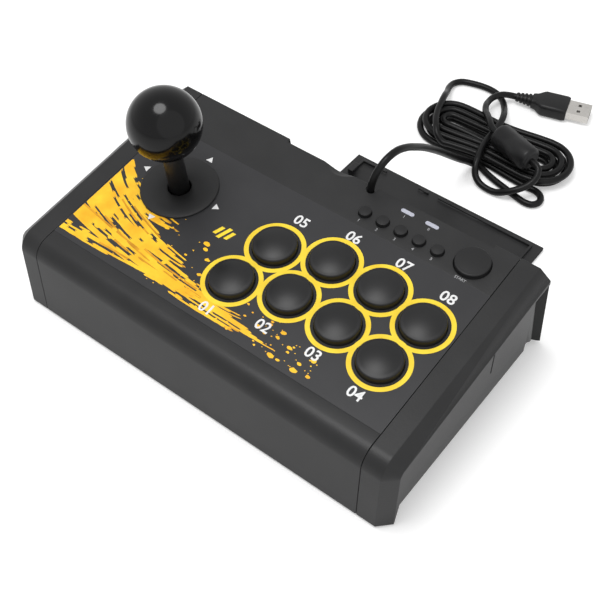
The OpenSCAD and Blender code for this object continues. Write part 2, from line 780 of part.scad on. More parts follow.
// Stick mechanism: a pivot hub in a gimbal ring in a round housing
module stick_bracket() color(dark) on_deck(stick_place) difference() {
    union() {
        translate([-bracket_w / 2, -bracket_w / 2, -bracket_depth - bracket_t])
            cube([bracket_w, bracket_w, bracket_t]);
        translate([0, 0, -bracket_depth - bracket_t - housing_l])
            cylinder(r = housing_r, h = housing_l + eps);
        translate([-gate_w / 2, -gate_w / 2, -bracket_depth - bracket_t - housing_l])
            cube([gate_w, gate_w, bracket_t]);
        for (a = [45 : 90 : 315]) rotate([0, 0, a])
            translate([gate_w * 0.62, 0, gate_top + slip])
                cylinder(d = post_d, h = -gate_top - bracket_depth - bracket_t - housing_l, $fn = 20);
        for (sx = [-1, 1], sy = [-1, 1])
            translate([sx * (bracket_w - post_d) / 2, sy * (bracket_w - post_d) / 2, -bracket_depth - eps])
                cylinder(d = post_d, h = bracket_depth - wall - slip, $fn = 20);
    }
    translate([0, 0, -bracket_depth - bracket_t - housing_l - over])
        cylinder(r = housing_r - housing_wall, h = housing_l + bracket_t + 2 * over);
    translate([0, 0, -pivot_depth]) rotate([0, 90, 0])
        translate([0, 0, -housing_r - over])
            cylinder(d = trunnion_d + 2 * fit, h = 2 * (housing_r + over), $fn = 32);
}

gate_top = -actuator_top - actuator_l + gate_t;
module gate_plate() color(black) on_deck(stick_place) difference() {
    translate([-gate_w / 2 - post_d / 2, -gate_w / 2 - post_d / 2, gate_top - gate_t])
        cube([gate_w + post_d, gate_w + post_d, gate_t]);
    half = actuator_d / 2 + (-gate_top + gate_t - pivot_depth + over) * tan(tilt_max) * 1.05 + gap;
    translate([-half, -half, gate_top - gate_t - over]) cube([2 * half, 2 * half, gate_t + 2 * over]);
}

module stick_switches() color(black) on_deck(stick_place)
    for (a = [0 : 90 : 270]) rotate([0, 0, a])
        translate([switch_in, -switch_l / 2, gate_top + slip]) cube([switch_w, switch_l, switch_h]);

module switch_levers() color(steel) on_deck(stick_place)
    for (a = [0 : 90 : 270]) rotate([0, 0, a])
        translate([0, 0, gate_top + slip + switch_h / 4]) linear_extrude(switch_h / 2)
            polygon([
                [switch_in, -switch_l * 0.42],
                [switch_in * 0.74, switch_l * 0.3],
                [switch_in * 0.74 - lever_t, switch_l * 0.3],
                [switch_in - lever_t, -switch_l * 0.42]
            ]);

module gimbal_ring() color(steel) on_deck(stick_place, -pivot_depth) difference() {
    union() {
        translate([0, 0, -ring_h / 2]) cylinder(r = ring_r, h = ring_h);
        rotate([0, 90, 0]) translate([0, 0, -housing_r + fit])
            cylinder(d = trunnion_d, h = 2 * (housing_r - fit), $fn = 32);
    }
    translate([0, 0, -ring_h]) cylinder(r = ring_r - ring_wall, h = 2 * ring_h);
    rotate([90, 0, 0]) translate([0, 0, -housing_r])
        cylinder(d = trunnion_d + 2 * fit, h = 2 * housing_r, $fn = 32);
}

module stick_shaft() color(steel) on_deck(stick_place, -pivot_depth) {
    translate([0, 0, pivot_depth - shaft_low]) cylinder(d = shaft_d, h = shaft_low + ball_h - ball_d * 0.3);
    translate([0, 0, -ring_h / 2]) cylinder(d = hub_d, h = ring_h);
    rotate([90, 0, 0]) translate([0, 0, -ring_r + slip])
        cylinder(d = trunnion_d, h = 2 * (ring_r - slip), $fn = 32);
}

ball_flat = ball_d * 0.47;
module shaft_sleeve() color(black) on_deck(stick_place, -sleeve_low)
    tube_ring(sleeve_d / 2, shaft_d / 2 + fit, sleeve_low + ball_h - ball_flat - slip);

module ball_knob() color(black) on_deck(stick_place) difference() {
    translate([0, 0, ball_h]) sphere(d = ball_d, $fn = 96);
    translate([0, 0, ball_h - ball_d]) cylinder(d = ball_d, h = ball_d - ball_flat);
    cylinder(r = shaft_d / 2 + fit, h = ball_h - ball_d * 0.3 + slip);
}

function spring_path() = [
    for (k = [0 : 12 * spring_turns])
        let (a = 360 * k / 12, top = ring_h / 2 + spring_wire / 2 + slip,
            l = actuator_top - pivot_depth - ring_h / 2 - spring_wire - 2 * slip)
        [spring_d / 2 * cos(a), spring_d / 2 * sin(a), -top - l * k / (12 * spring_turns)]
];

module stick_spring() color(steel) on_deck(stick_place, -pivot_depth)
    cord_tube(spring_path(), spring_wire / 2, 6);

module actuator() color(black) on_deck(stick_place) translate([0, 0, -actuator_top]) difference() {
    union() {
        translate([0, 0, -collar_t]) cylinder(d = actuator_collar_d, h = collar_t);
        translate([0, 0, -actuator_l]) cylinder(d = actuator_d, h = actuator_l);
    }
    translate([0, 0, -actuator_l - over]) cylinder(r = shaft_d / 2 + fit, h = actuator_l + 2 * over);
}

module shaft_clip() color(steel) on_deck(stick_place)
    translate([0, 0, -actuator_top - actuator_l - slip - clip_t])
    difference() {
        tube_ring(clip_d / 2, shaft_d / 2 + fit, clip_t);
        translate([0, -shaft_d / 4, -over]) cube([clip_d, shaft_d / 2, clip_t + 2 * over]);
    }

washer_shift = (pivot_depth + washer_t) * tan(tilt_max);
module slide_washer() color(black) on_deck(stick_place) difference() {
    translate([0, 0, -wall - gap - washer_t]) cylinder(r = deck_hole_r + washer_shift, h = washer_t);
    translate([0, 0, -wall - gap - washer_t - over]) {
        cylinder(r = sleeve_d / 2 + 4 * gap, h = washer_t + 2 * over);
        for (s = [-1, 1]) translate([0, s * washer_shift, 0])
            cylinder(r = sleeve_d / 2 + 4 * gap, h = washer_t + 2 * over);
        translate([-sleeve_d / 2 - 4 * gap, -washer_shift, 0])
            cube([sleeve_d + 8 * gap, 2 * washer_shift, washer_t + 2 * over]);
    }
}

module dust_washer() color(black) on_deck(stick_place) difference() {
    union() {
        translate([0, 0, slip]) cylinder(d = washer_d, h = washer_t - key_edge);
        translate([0, 0, slip + washer_t - key_edge])
            cylinder(d1 = washer_d, d2 = washer_d - 2 * key_edge, h = key_edge);
    }
    translate([0, 0, -over]) cylinder(r = sleeve_d / 2 + washer_play, h = 2 * over + washer_t);
}

// The cord's free route, in three hand-picked stretches either side of the hank.
// Y is from the panel's front seam.
lead_points = [
    [15.4, 97, 33.6], [15.4, 103, 35.8], [15.4, 105.2, 41], [15.4, 105.3, 47], [15.4, 105.3, 53],
    [15.4, 105.4, 59],
    [15.9, 106.6, 64], [16.6, 109.4, 68.2], [17.5, 114, 71.4], [18.3, 121, 71.9], [18.9, 129, 68.8],
    [19.2, 137.5, 63.2], [19, 145.6, 57], [18.8, 153.5, 50.2], [18.3, 162, 42.4], [18, 171, 33.8],
    [17.8, 180.5, 24.6], [17.9, 189, 16.6], [18.1, 196.4, 10], [18.6, 201, 5.6], [20.2, 203.8, 3],
    [23.2, 204.5, 2.1], [28.4, 202.6, 2], [35, 200.4, 2], [43, 198.4, 2], [51, 196.4, 2],
    [57, 195.4, 2], [60.6, 196.2, 2], [62.8, 199, 2], [62.7, 202.6, 2], [60.4, 205.5, 2],
    [56.4, 206.8, 2]
];
wrap_points = [
    [-7.6, 206.4, 9], [-10.4, 209.4, 10.8], [-13.8, 214.2, 11.3], [-17.2, 221.4, 11.3], [-19.6, 229, 11.3],
    [-21.8, 236, 10.4], [-25, 244.4, 6], [-27.8, 251.6, 3.6], [-28.4, 257.4, 2.3], [-25.8, 261.8, 2.1],
    [-20, 264.4, 2.1], [-10.4, 266.2, 2.1], [-2.4, 265.2, 2.1], [3.8, 261.1, 2.2], [8.4, 254.8, 3.4],
    [11.6, 248.6, 6.6], [14.2, 243, 9.8], [16.4, 237, 11.2], [17.7, 230, 11.3], [18.2, 222, 11.3],
    [18.6, 214.6, 11.3], [20.4, 207, 11.1], [22.2, 201.2, 10.3], [23.4, 197.4, 8.2], [25.6, 194.6, 5],
    [29.4, 192.9, 2.8], [35, 192, 2.1], [40.6, 192.2, 2.6], [45.8, 193.4, 5], [50.2, 195.9, 7.2],
    [53.4, 199.4, 8.6], [55.6, 203.2, 10.6], [56.3, 206.2, 12.8], [55.2, 209.2, 15]
];
tail_points = [
    [16.4, 223.8, 16], [13.2, 227.6, 15.4], [9.2, 232.6, 13.5], [5.2, 237.4, 11.3], [2, 243.2, 9.8],
    [0, 249.4, 7.6], [0, 255.4, 7.1], [2.6, 260.8, 7], [5, 264.4, 5.6]
];
plug_start = [9, 266.9, 4.7];
plug_turn = 15.8;
ferrite_in = [49, 212, 15.8];
ferrite_turn = 162;

// The hank: elongated loops, drawn in at the waist, that spiral in on the floor and out again on top
hank_mid = [19.5, 224.8];
hank_turn = 2;
hank_run = 58;
hank_turns = 3;
hank_in_r = 3.2;
hank_step = 5;
waist_share = 0.86;
hank_lift = 4.35;
hank_start_share = -0.14;
hank_end_share = 1.1;
rings_per_loop = 24;
run_share = 0.31;
bend_share = 0.5 - run_share;

function waist(x) = 1 - (1 - waist_share) * pow(cos(90 * min(1, abs(x) / (hank_run / 2))), 2);

function loop_point(u, r) =
    let (a = run_share / 2, b = a + bend_share, c = b + run_share, d = c + bend_share, h = hank_run / 2)
    u < a ? [u / a * h, -r * waist(u / a * h)]
    : u < b ? [h + r * sin(180 * (u - a) / bend_share), -r * cos(180 * (u - a) / bend_share)]
    : u < c ? let (x = h - (u - b) / run_share * hank_run) [x, r * waist(x)]
    : u < d ? [-h - r * sin(180 * (u - c) / bend_share), r * cos(180 * (u - c) / bend_share)]
    : let (x = -h + (u - d) / (1 - d) * h) [x, -r * waist(x)];

function hank_at(t) =
    let (
        u = t - floor(t),
        r = hank_in_r + hank_step * abs(t - hank_turns),
        climb = min(1, max(0, (t - hank_turns) / run_share + 0.5)),
        p = loop_point(u, r)
    )
    [
        hank_mid[0] - p[0] * cos(hank_turn) - p[1] * sin(hank_turn),
        hank_mid[1] - p[0] * sin(hank_turn) + p[1] * cos(hank_turn),
        cord_d / 2 + fit + hank_lift * climb * climb * (3 - 2 * climb)
    ];

hank_last = 2 * hank_turns - 1 + hank_end_share;
hank_count = round((hank_last - hank_start_share) * rings_per_loop);
function hank_points(count) =
    [for (k = [0 : count]) hank_at(hank_start_share + (hank_last - hank_start_share) * k / count)];
hank_path = hank_points(hank_count);

function path_length(p) = let (s = [for (i = [1 : len(p) - 1]) norm(p[i] - p[i - 1])]) s * [for (x = s) 1];

// Least distance between two points of the hank that lie at least a third of a loop apart, less the cord
hank_fine = hank_points(2 * hank_count);
hank_gap = min([
    for (i = [0 : len(hank_fine) - 1])
        for (j = [i + round(2 * rings_per_loop / 3) : 1 : len(hank_fine) - 1])
            norm(hank_fine[i] - hank_fine[j])
]) - cord_d;
echo(hank_least_gap = hank_gap);

function heading(p, q) = unit(q - p);
hank_out = heading(hank_path[hank_count - 1], hank_path[hank_count]);
hank_into = heading(hank_path[0], hank_path[1]);
ferrite_dir = [cos(ferrite_turn), sin(ferrite_turn), 0];
ferrite_out = ferrite_in + ferrite_l * ferrite_dir;
plug_dir = [cos(plug_turn), sin(plug_turn), 0];
grommet_face = [exit_x, bay_y0 + grommet_l - bay_wall, grommet_z];

lead_path = concat(
    [grommet_face, grommet_face + [0, cord_d, 0]], lead_points,
    [hank_path[0] - cord_d * 1.5 * hank_into, hank_path[0]]
);
wrap_path = concat(
    [hank_path[hank_count], hank_path[hank_count] + cord_d * 1.2 * hank_out],
    wrap_points, [ferrite_in - cord_d * ferrite_dir, ferrite_in]
);
tail_path = concat(
    [ferrite_out, ferrite_out + cord_d * ferrite_dir], tail_points,
    [plug_start - cord_d / 2 * plug_dir, plug_start]
);
wound_length = path_length(hank_path) + path_length(wrap_path);
echo(cord_length = path_length(lead_path) + wound_length + ferrite_l + path_length(tail_path));

module cord_grommet() color(black) place() translate([exit_x, bay_y0, grommet_z]) rotate([-90, 0, 0])
    difference() {
    union() {
        translate([0, 0, -bay_wall + slip]) cylinder(d = grommet_d - wall - 2 * slip, h = bay_wall);
        translate([0, 0, slip])
            cylinder(d1 = grommet_d, d2 = grommet_d * 0.7, h = grommet_l - bay_wall - slip);
        translate([0, 0, -2 * bay_wall]) cylinder(d = grommet_d, h = bay_wall - slip);
    }
}

module cord_lead() color(black) place() cord_tube(lead_path, cord_d / 2, 8);
module cord_hank() color(black) place() cord_tube(hank_path, cord_d / 2, 6);
module cord_wraps() color(black) place() cord_tube(wrap_path, cord_d / 2, 8);
module cord_tail() color(black) place() cord_tube(tail_path, cord_d / 2, 8);

module ferrite_bead() color(dark) place() translate(ferrite_in) rotate([0, 0, ferrite_turn])
    rotate([0, 90, 0])
    rotate_extrude()
        polygon([
            [0, 0], [ferrite_d * 0.36, 0], [ferrite_d * 0.46, ferrite_d * 0.04],
            [ferrite_d / 2, ferrite_d * 0.12],
            [ferrite_d / 2, ferrite_l - ferrite_d * 0.12], [ferrite_d * 0.46, ferrite_l - ferrite_d * 0.04],
            [ferrite_d * 0.36, ferrite_l], [0, ferrite_l]
        ]);

// USB plug: relief, overmould, metal shell and tongue along one axis
relief_l = 10;
mould_l = 21;
mould_w = 15.6;
mould_h = 8.2;
shell_l = 13;
shell_w = 12;
shell_h = 4.5;
shell_t = 0.5;

module along_plug() place() translate(plug_start) rotate([0, 0, plug_turn]) children();

module usb_overmold() color(black) along_plug() {
    rotate([0, 90, 0]) cylinder(d1 = cord_d * 1.5, d2 = mould_h * 0.86, h = relief_l);
    hull() {
        translate([relief_l - eps, -mould_h * 0.55, -mould_h / 2]) cube([eps, mould_h * 1.1, mould_h]);
        translate([relief_l + mould_l * 0.32, -mould_w / 2, -mould_h / 2])
            cube([mould_l * 0.62, mould_w, mould_h]);
        translate([relief_l + mould_l - eps, -mould_w * 0.46, -mould_h * 0.44])
            cube([eps, mould_w * 0.92, mould_h * 0.88]);
    }
}

module usb_shell() color(steel) along_plug() difference() {
    translate([relief_l + mould_l, -shell_w / 2, -shell_h / 2]) cube([shell_l, shell_w, shell_h]);
    translate([relief_l + mould_l - over, shell_t - shell_w / 2, shell_t - shell_h / 2])
        cube([shell_l + 2 * over, shell_w - 2 * shell_t, shell_h - 2 * shell_t]);
    for (s = [-1, 1]) translate([relief_l + mould_l + shell_l * 0.42, s * shell_w * 0.22 - shell_t * 2, 0])
        cube([shell_t * 4, shell_t * 4, shell_h]);
}

module usb_tongue() color([0.9, 0.9, 0.9]) along_plug()
    translate([relief_l + mould_l, shell_t + slip - shell_w / 2, shell_t + slip - shell_h / 2])
        cube([shell_l - shell_t, shell_w - 2 * (shell_t + slip), shell_h * 0.4]);

base_tray();
top_shell();
deck_overlay();
end_cap_left();
end_cap_right();
cable_bay();
rear_door();
door_hinge_pin();
rubber_feet();
case_screws();
button_bezels();
for (k = [1 : 8])
    button_cap(k);
button_domes();
button_board();
board_screws();
for (k = [1 : 5])
    small_key(small_places[k - 1], small_d, small_rise);
small_key(start_place, start_d, start_rise);  // start_button
small_domes();
small_board();
led_lenses();
main_board();
stick_bracket();
gate_plate();
stick_switches();
switch_levers();
gimbal_ring();
stick_shaft();
shaft_sleeve();
ball_knob();
stick_spring();
actuator();
shaft_clip();
slide_washer();
dust_washer();
cord_grommet();
cord_lead();
cord_hank();
cord_wraps();
cord_tail();
ferrite_bead();
usb_overmold();
usb_shell();
usb_tongue();
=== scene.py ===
import bpy
import bmesh
import math
import random
from mathutils import Matrix, Vector


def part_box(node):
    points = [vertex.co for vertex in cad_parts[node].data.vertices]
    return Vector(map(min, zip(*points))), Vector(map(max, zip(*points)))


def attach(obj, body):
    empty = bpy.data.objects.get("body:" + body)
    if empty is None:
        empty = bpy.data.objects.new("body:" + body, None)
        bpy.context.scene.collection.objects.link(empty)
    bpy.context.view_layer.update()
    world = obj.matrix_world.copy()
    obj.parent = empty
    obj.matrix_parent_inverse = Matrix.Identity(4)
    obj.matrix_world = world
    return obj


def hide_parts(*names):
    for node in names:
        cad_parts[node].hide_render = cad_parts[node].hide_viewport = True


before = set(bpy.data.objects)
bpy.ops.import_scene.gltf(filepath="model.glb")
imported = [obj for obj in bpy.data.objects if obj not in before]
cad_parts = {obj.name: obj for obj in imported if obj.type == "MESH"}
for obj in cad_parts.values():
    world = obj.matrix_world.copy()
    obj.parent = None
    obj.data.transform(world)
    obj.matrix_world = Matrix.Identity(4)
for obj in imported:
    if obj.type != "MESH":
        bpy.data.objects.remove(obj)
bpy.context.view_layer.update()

# All helpers take millimetres, with Y from the front seam of the printed panel
case = {
    "deckSlope": 6.0,
    "deckHeight": 46.0,
    "frontFoot": -14.92,
    "edgeRound": 0.3,
    "innerRound": 0.25,
}
slopeSin = math.sin(math.radians(case["deckSlope"]))
slopeCos = math.cos(math.radians(case["deckSlope"]))
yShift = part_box("top_shell")[0][1] * 1000 - case["frontFoot"]


def at(x, y, z):
    return Vector((x, y + yShift, z)) / 1000


# A point of the sloping deck: v runs up the slope, n stands square to it
def onDeck(x, v, n=0.0):
    return at(x, v * slopeCos - n * slopeSin, case["deckHeight"] + v * slopeSin + n * slopeCos)


def deckMatrix(x, v, n=0.0):
    tilt = Matrix.Rotation(math.radians(case["deckSlope"]), 4, "X")
    return Matrix.Translation(onDeck(x, v, n)) @ tilt


# Camera
view = {
    "place": (223.3, -217.2, 428.66),
    "right": (0.791821, 0.610735, -0.004674),
    "up": (-0.464694, 0.607409, 0.644293),
    "back": (0.396332, -0.507993, 0.764764),
    "focal": 66.36,
    "sensor": 36,
    "nearest": 0.01,
}
cameraData = bpy.data.cameras.new("shotCamera")
camera = bpy.data.objects.new("shotCamera", cameraData)
bpy.context.scene.collection.objects.link(camera)
axes = Matrix((view["right"], view["up"], view["back"])).transposed().to_4x4()
camera.matrix_world = Matrix.Translation(at(*view["place"])) @ axes
cameraData.sensor_width = view["sensor"]
cameraData.lens = view["focal"]
cameraData.clip_start = view["nearest"]
bpy.context.scene.camera = camera
print("camera placed")


# Materials
grainDepth = 0.00006


def newMaterial(name):
    material = bpy.data.materials.new(name)
    material.use_nodes = True
    nodes = material.node_tree.nodes
    return material, nodes, material.node_tree.links, nodes["Principled BSDF"]


def addNode(nodes, kind, **values):
    node = nodes.new(kind)
    for key, value in values.items():
        if hasattr(node, key):
            setattr(node, key, value)
        else:
            node.inputs[key].default_value = value
    return node


def grainBump(nodes, links, shader, scale, strength, distance):
    place = nodes.new("ShaderNodeTexCoord")
    noise = addNode(nodes, "ShaderNodeTexNoise", Scale=scale, Detail=3.0, Roughness=0.6)
    bump = addNode(nodes, "ShaderNodeBump", Strength=strength, Distance=distance)
    links.new(place.outputs["Object"], noise.inputs["Vector"])
    links.new(noise.outputs["Fac"], bump.inputs["Height"])
    links.new(bump.outputs["Normal"], shader.inputs["Normal"])
    return place


def toneVariation(nodes, links, shader, place, dark, light, scale):
    cloud = addNode(nodes, "ShaderNodeTexNoise", Scale=scale, Detail=4.0)
    ramp = nodes.new("ShaderNodeValToRGB")
    ramp.color_ramp.elements[0].position = 0.35
    ramp.color_ramp.elements[0].color = (*dark, 1)
    ramp.color_ramp.elements[1].position = 0.7
    ramp.color_ramp.elements[1].color = (*light, 1)
    links.new(place.outputs["Object"], cloud.inputs["Vector"])
    links.new(cloud.outputs["Fac"], ramp.inputs["Fac"])
    links.new(ramp.outputs["Color"], shader.inputs["Base Color"])


# Moulded plastic: two close tones in soft patches and a fine grain, both in cells a metre
def moulded(name, dark, light, roughness, grain=2600, bump=0.25, coat=0.0, patch=60, shine=0.3):
    material, nodes, links, shader = newMaterial(name)
    place = grainBump(nodes, links, shader, grain, bump, grainDepth)
    toneVariation(nodes, links, shader, place, dark, light, patch)
    shader.inputs["Roughness"].default_value = roughness
    shader.inputs["Specular IOR Level"].default_value = shine
    shader.inputs["Coat Weight"].default_value = coat
    shader.inputs["Coat Roughness"].default_value = 0.1
    return material


# Drawn metal: fine streaks across its length
def brushed(name, dark, light, roughness):
    material, nodes, links, shader = newMaterial(name)
    place = nodes.new("ShaderNodeTexCoord")
    stretch = addNode(nodes, "ShaderNodeMapping", Scale=(300, 300, 4000))
    noise = addNode(nodes, "ShaderNodeTexNoise", Scale=1.0, Detail=2.0)
    ramp = nodes.new("ShaderNodeValToRGB")
    ramp.color_ramp.elements[0].color = (*dark, 1)
    ramp.color_ramp.elements[1].color = (*light, 1)
    bump = addNode(nodes, "ShaderNodeBump", Strength=0.1, Distance=0.00003)
    links.new(place.outputs["Object"], stretch.inputs["Vector"])
    links.new(stretch.outputs["Vector"], noise.inputs["Vector"])
    links.new(noise.outputs["Fac"], ramp.inputs["Fac"])
    links.new(ramp.outputs["Color"], shader.inputs["Base Color"])
    links.new(noise.outputs["Fac"], bump.inputs["Height"])
    links.new(bump.outputs["Normal"], shader.inputs["Normal"])
    shader.inputs["Metallic"].default_value = 1.0
    shader.inputs["Roughness"].default_value = roughness
    return material


casePlastic = moulded(
    "casePlastic", (0.016, 0.016, 0.0165), (0.02, 0.02, 0.0205), 0.42, grain=1050, bump=0.8,
)
innerPlastic = moulded("innerPlastic", (0.01, 0.01, 0.0105), (0.014, 0.014, 0.0145), 0.6, shine=0.2)
panelFilm = moulded(
    "panelFilm", (0.026, 0.026, 0.0278), (0.03, 0.03, 0.0318), 0.4, grain=5200, bump=0.12,
)
glossBlack = moulded(
    "glossBlack", (0.01, 0.01, 0.0105), (0.013, 0.013, 0.0135), 0.38, grain=3200, bump=0.06,
)
ballBlack = moulded(
    "ballBlack", (0.0015, 0.0015, 0.0017), (0.002, 0.002, 0.0023), 0.19,
    grain=300, bump=0.01, coat=0.32, shine=0.12,
)
satinBlack = moulded("satinBlack", (0.009, 0.009, 0.0095), (0.012, 0.012, 0.0125), 0.4)
washerBlack = moulded(
    "washerBlack", (0.0145, 0.0145, 0.015), (0.0175, 0.0175, 0.018), 0.5, grain=3000, bump=0.15,
)
# Black rubber for the feet and the grommet; the same near-black also paints the shade on the rear
# corner strips
rubberAndPaintedShadeBlack = moulded(
    "rubberAndPaintedShadeBlack", (0.01, 0.01, 0.01), (0.014, 0.014, 0.014), 0.75, grain=1800, bump=0.4, shine=0.2,
)
cordJacket = moulded(
    "cordJacket", (0.004, 0.004, 0.0042), (0.006, 0.006, 0.0063), 0.36,
    grain=1500, bump=0.15, shine=0.2,
)
mouldedLead = moulded("mouldedLead", (0.006, 0.006, 0.0065), (0.009, 0.009, 0.0095), 0.42)
silicone = moulded("silicone", (0.3, 0.31, 0.33), (0.36, 0.37, 0.39), 0.55)
circuitBoard = moulded("circuitBoard", (0.008, 0.09, 0.035), (0.012, 0.14, 0.055), 0.4, patch=260)
steel = brushed("steel", (0.5, 0.5, 0.52), (0.68, 0.68, 0.7), 0.28)
plugSteel = brushed("plugSteel", (0.56, 0.54, 0.51), (0.7, 0.68, 0.65), 0.24)
tongueWhite = moulded("tongueWhite", (0.72, 0.71, 0.68), (0.8, 0.79, 0.76), 0.4)
lensGrey = moulded("lensGrey", (0.42, 0.43, 0.5), (0.5, 0.51, 0.58), 0.25, patch=900)


def printInk(name, dark, light, patch):
    return moulded(name, dark, light, 0.4, grain=5200, bump=0.1, patch=patch)


ringYellow = printInk("ringYellow", (0.86, 0.6, 0.03), (0.95, 0.72, 0.05), 120)
ringAmber = printInk("ringAmber", (0.72, 0.4, 0.015), (0.86, 0.52, 0.02), 120)
inkWhite = printInk("inkWhite", (0.72, 0.72, 0.72), (0.82, 0.82, 0.82), 300)
inkGrey = printInk("inkGrey", (0.3, 0.3, 0.31), (0.38, 0.38, 0.39), 300)
inkGold = printInk("inkGold", (0.86, 0.42, 0.012), (1.0, 0.62, 0.03), 90)
inkDeepGold = printInk("inkDeepGold", (0.55, 0.24, 0.008), (0.8, 0.38, 0.015), 150)
print("materials made")


# Mesh helpers
def addObject(name, mesh, material, smooth=True):
    piece = bpy.data.objects.new(name, mesh)
    bpy.context.scene.collection.objects.link(piece)
    mesh.materials.clear()
    mesh.materials.append(material)
    for face in mesh.polygons:
        face.use_smooth = smooth
    return piece


def roundEdges(piece, width, angle=30, weighted=False):
    bevel = piece.modifiers.new("edgeRound", "BEVEL")
    bevel.width = width / 1000
    bevel.segments = 2
    bevel.limit_method = "WEIGHT" if weighted else "ANGLE"
    bevel.angle_limit = math.radians(angle)
    bevel.use_clamp_overlap = False
    bevel.harden_normals = not weighted


def linkRings(work, rings):
    for low, high in zip(rings[:-1], rings[1:]):
        count = len(low)
        for k in range(count):
            n = (k + 1) % count
            work.faces.new((low[k], low[n], high[n], high[k]))


def finishMesh(work, name, material, smooth=True):
    mesh = bpy.data.meshes.new(name)
    work.to_mesh(mesh)
    work.free()
    return addObject(name, mesh, material, smooth)


# Which edges of a CAD form are rounded: angles in degrees, weld in metres, and the room that
# a rounding needs beside it, in its own widths
edgeRules = {"weld": 2e-6, "flat": 1.0, "sharp": 30, "room": 2.2, "cramped": 20}


# Width in mm of the narrower face beside an edge
def narrowest(edge):
    start = edge.verts[0].co
    along = (edge.verts[1].co - start).normalized()
    widths = []
    for face in edge.link_faces:
        reach = 0
        for vert in face.verts:
            out = vert.co - start
            reach = max(reach, (out - along * out.dot(along)).length)
        widths.append(reach)
    return min(widths) * 1000


# Whether another edge leaves one of its ends in nearly the same direction
def cramped(edge):
    least = math.radians(edgeRules["cramped"])
    for vert in edge.verts:
        along = edge.other_vert(vert).co - vert.co
        for other in vert.link_edges:
            if other != edge and along.angle(other.other_vert(vert).co - vert.co) < least:
                return True
    return False


# The CAD form with its outer edges rounded where the faces beside them are wide enough
def roundedCopy(nodeName, pieceName, material, body, width):
    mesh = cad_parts[nodeName].data.copy()
    mesh.name = pieceName
    work = bmesh.new()
    work.from_mesh(mesh)
    bmesh.ops.remove_doubles(work, verts=work.verts, dist=edgeRules["weld"])
    bmesh.ops.dissolve_limit(
        work, angle_limit=math.radians(edgeRules["flat"]), verts=work.verts, edges=work.edges,
    )
    weights = work.edges.layers.float.new("bevel_weight_edge")
    room = edgeRules["room"] * width
    for edge in work.edges:
        if len(edge.link_faces) != 2 or edge.calc_face_angle(0) < math.radians(edgeRules["sharp"]):
            continue
        if edge.is_convex and narrowest(edge) > room and not cramped(edge):
            edge[weights] = 1.0
        else:
            edge.smooth = False
    work.to_mesh(mesh)
    work.free()
    piece = addObject(pieceName, mesh, material)
    roundEdges(piece, width, weighted=True)
    evened = piece.modifiers.new("evenNormals", "WEIGHTED_NORMAL")
    evened.weight = 100
    evened.keep_sharp = True
    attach(piece, body)
    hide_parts(nodeName)


# A profile of (radius, height) from foot to top, spun in steps about its axis
def turned(name, profile, place, material, body, steps, node):
    work = bmesh.new()
    rings = []
    for radius, height in profile:
        if radius < 1e-6:
            rings.append([work.verts.new(place @ Vector((0, 0, height / 1000)))])
            continue
        ring = []
        for k in range(steps):
            turn = 2 * math.pi * k / steps
            corner = Vector((radius * math.cos(turn), radius * math.sin(turn), height)) / 1000
            ring.append(work.verts.new(place @ corner))
        rings.append(ring)
    for low, high in zip(rings[:-1], rings[1:]):
        for k in range(steps):
            n = (k + 1) % steps
            if len(low) == 1 and len(high) == 1:
                break
            if len(low) == 1:
                work.faces.new((low[0], high[n], high[k]))
            elif len(high) == 1:
                work.faces.new((low[k], low[n], high[0]))
            else:
                work.faces.new((low[k], low[n], high[n], high[k]))
    piece = finishMesh(work, name, material)
    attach(piece, body)
    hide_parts(node)
    return piece


def arcProfile(centre, radius, start, end, steps):
    points = []
    for k in range(steps + 1):
        turn = math.radians(start + (end - start) * k / steps)
        points.append((centre[0] + radius * math.cos(turn), centre[1] + radius * math.sin(turn)))
    return points


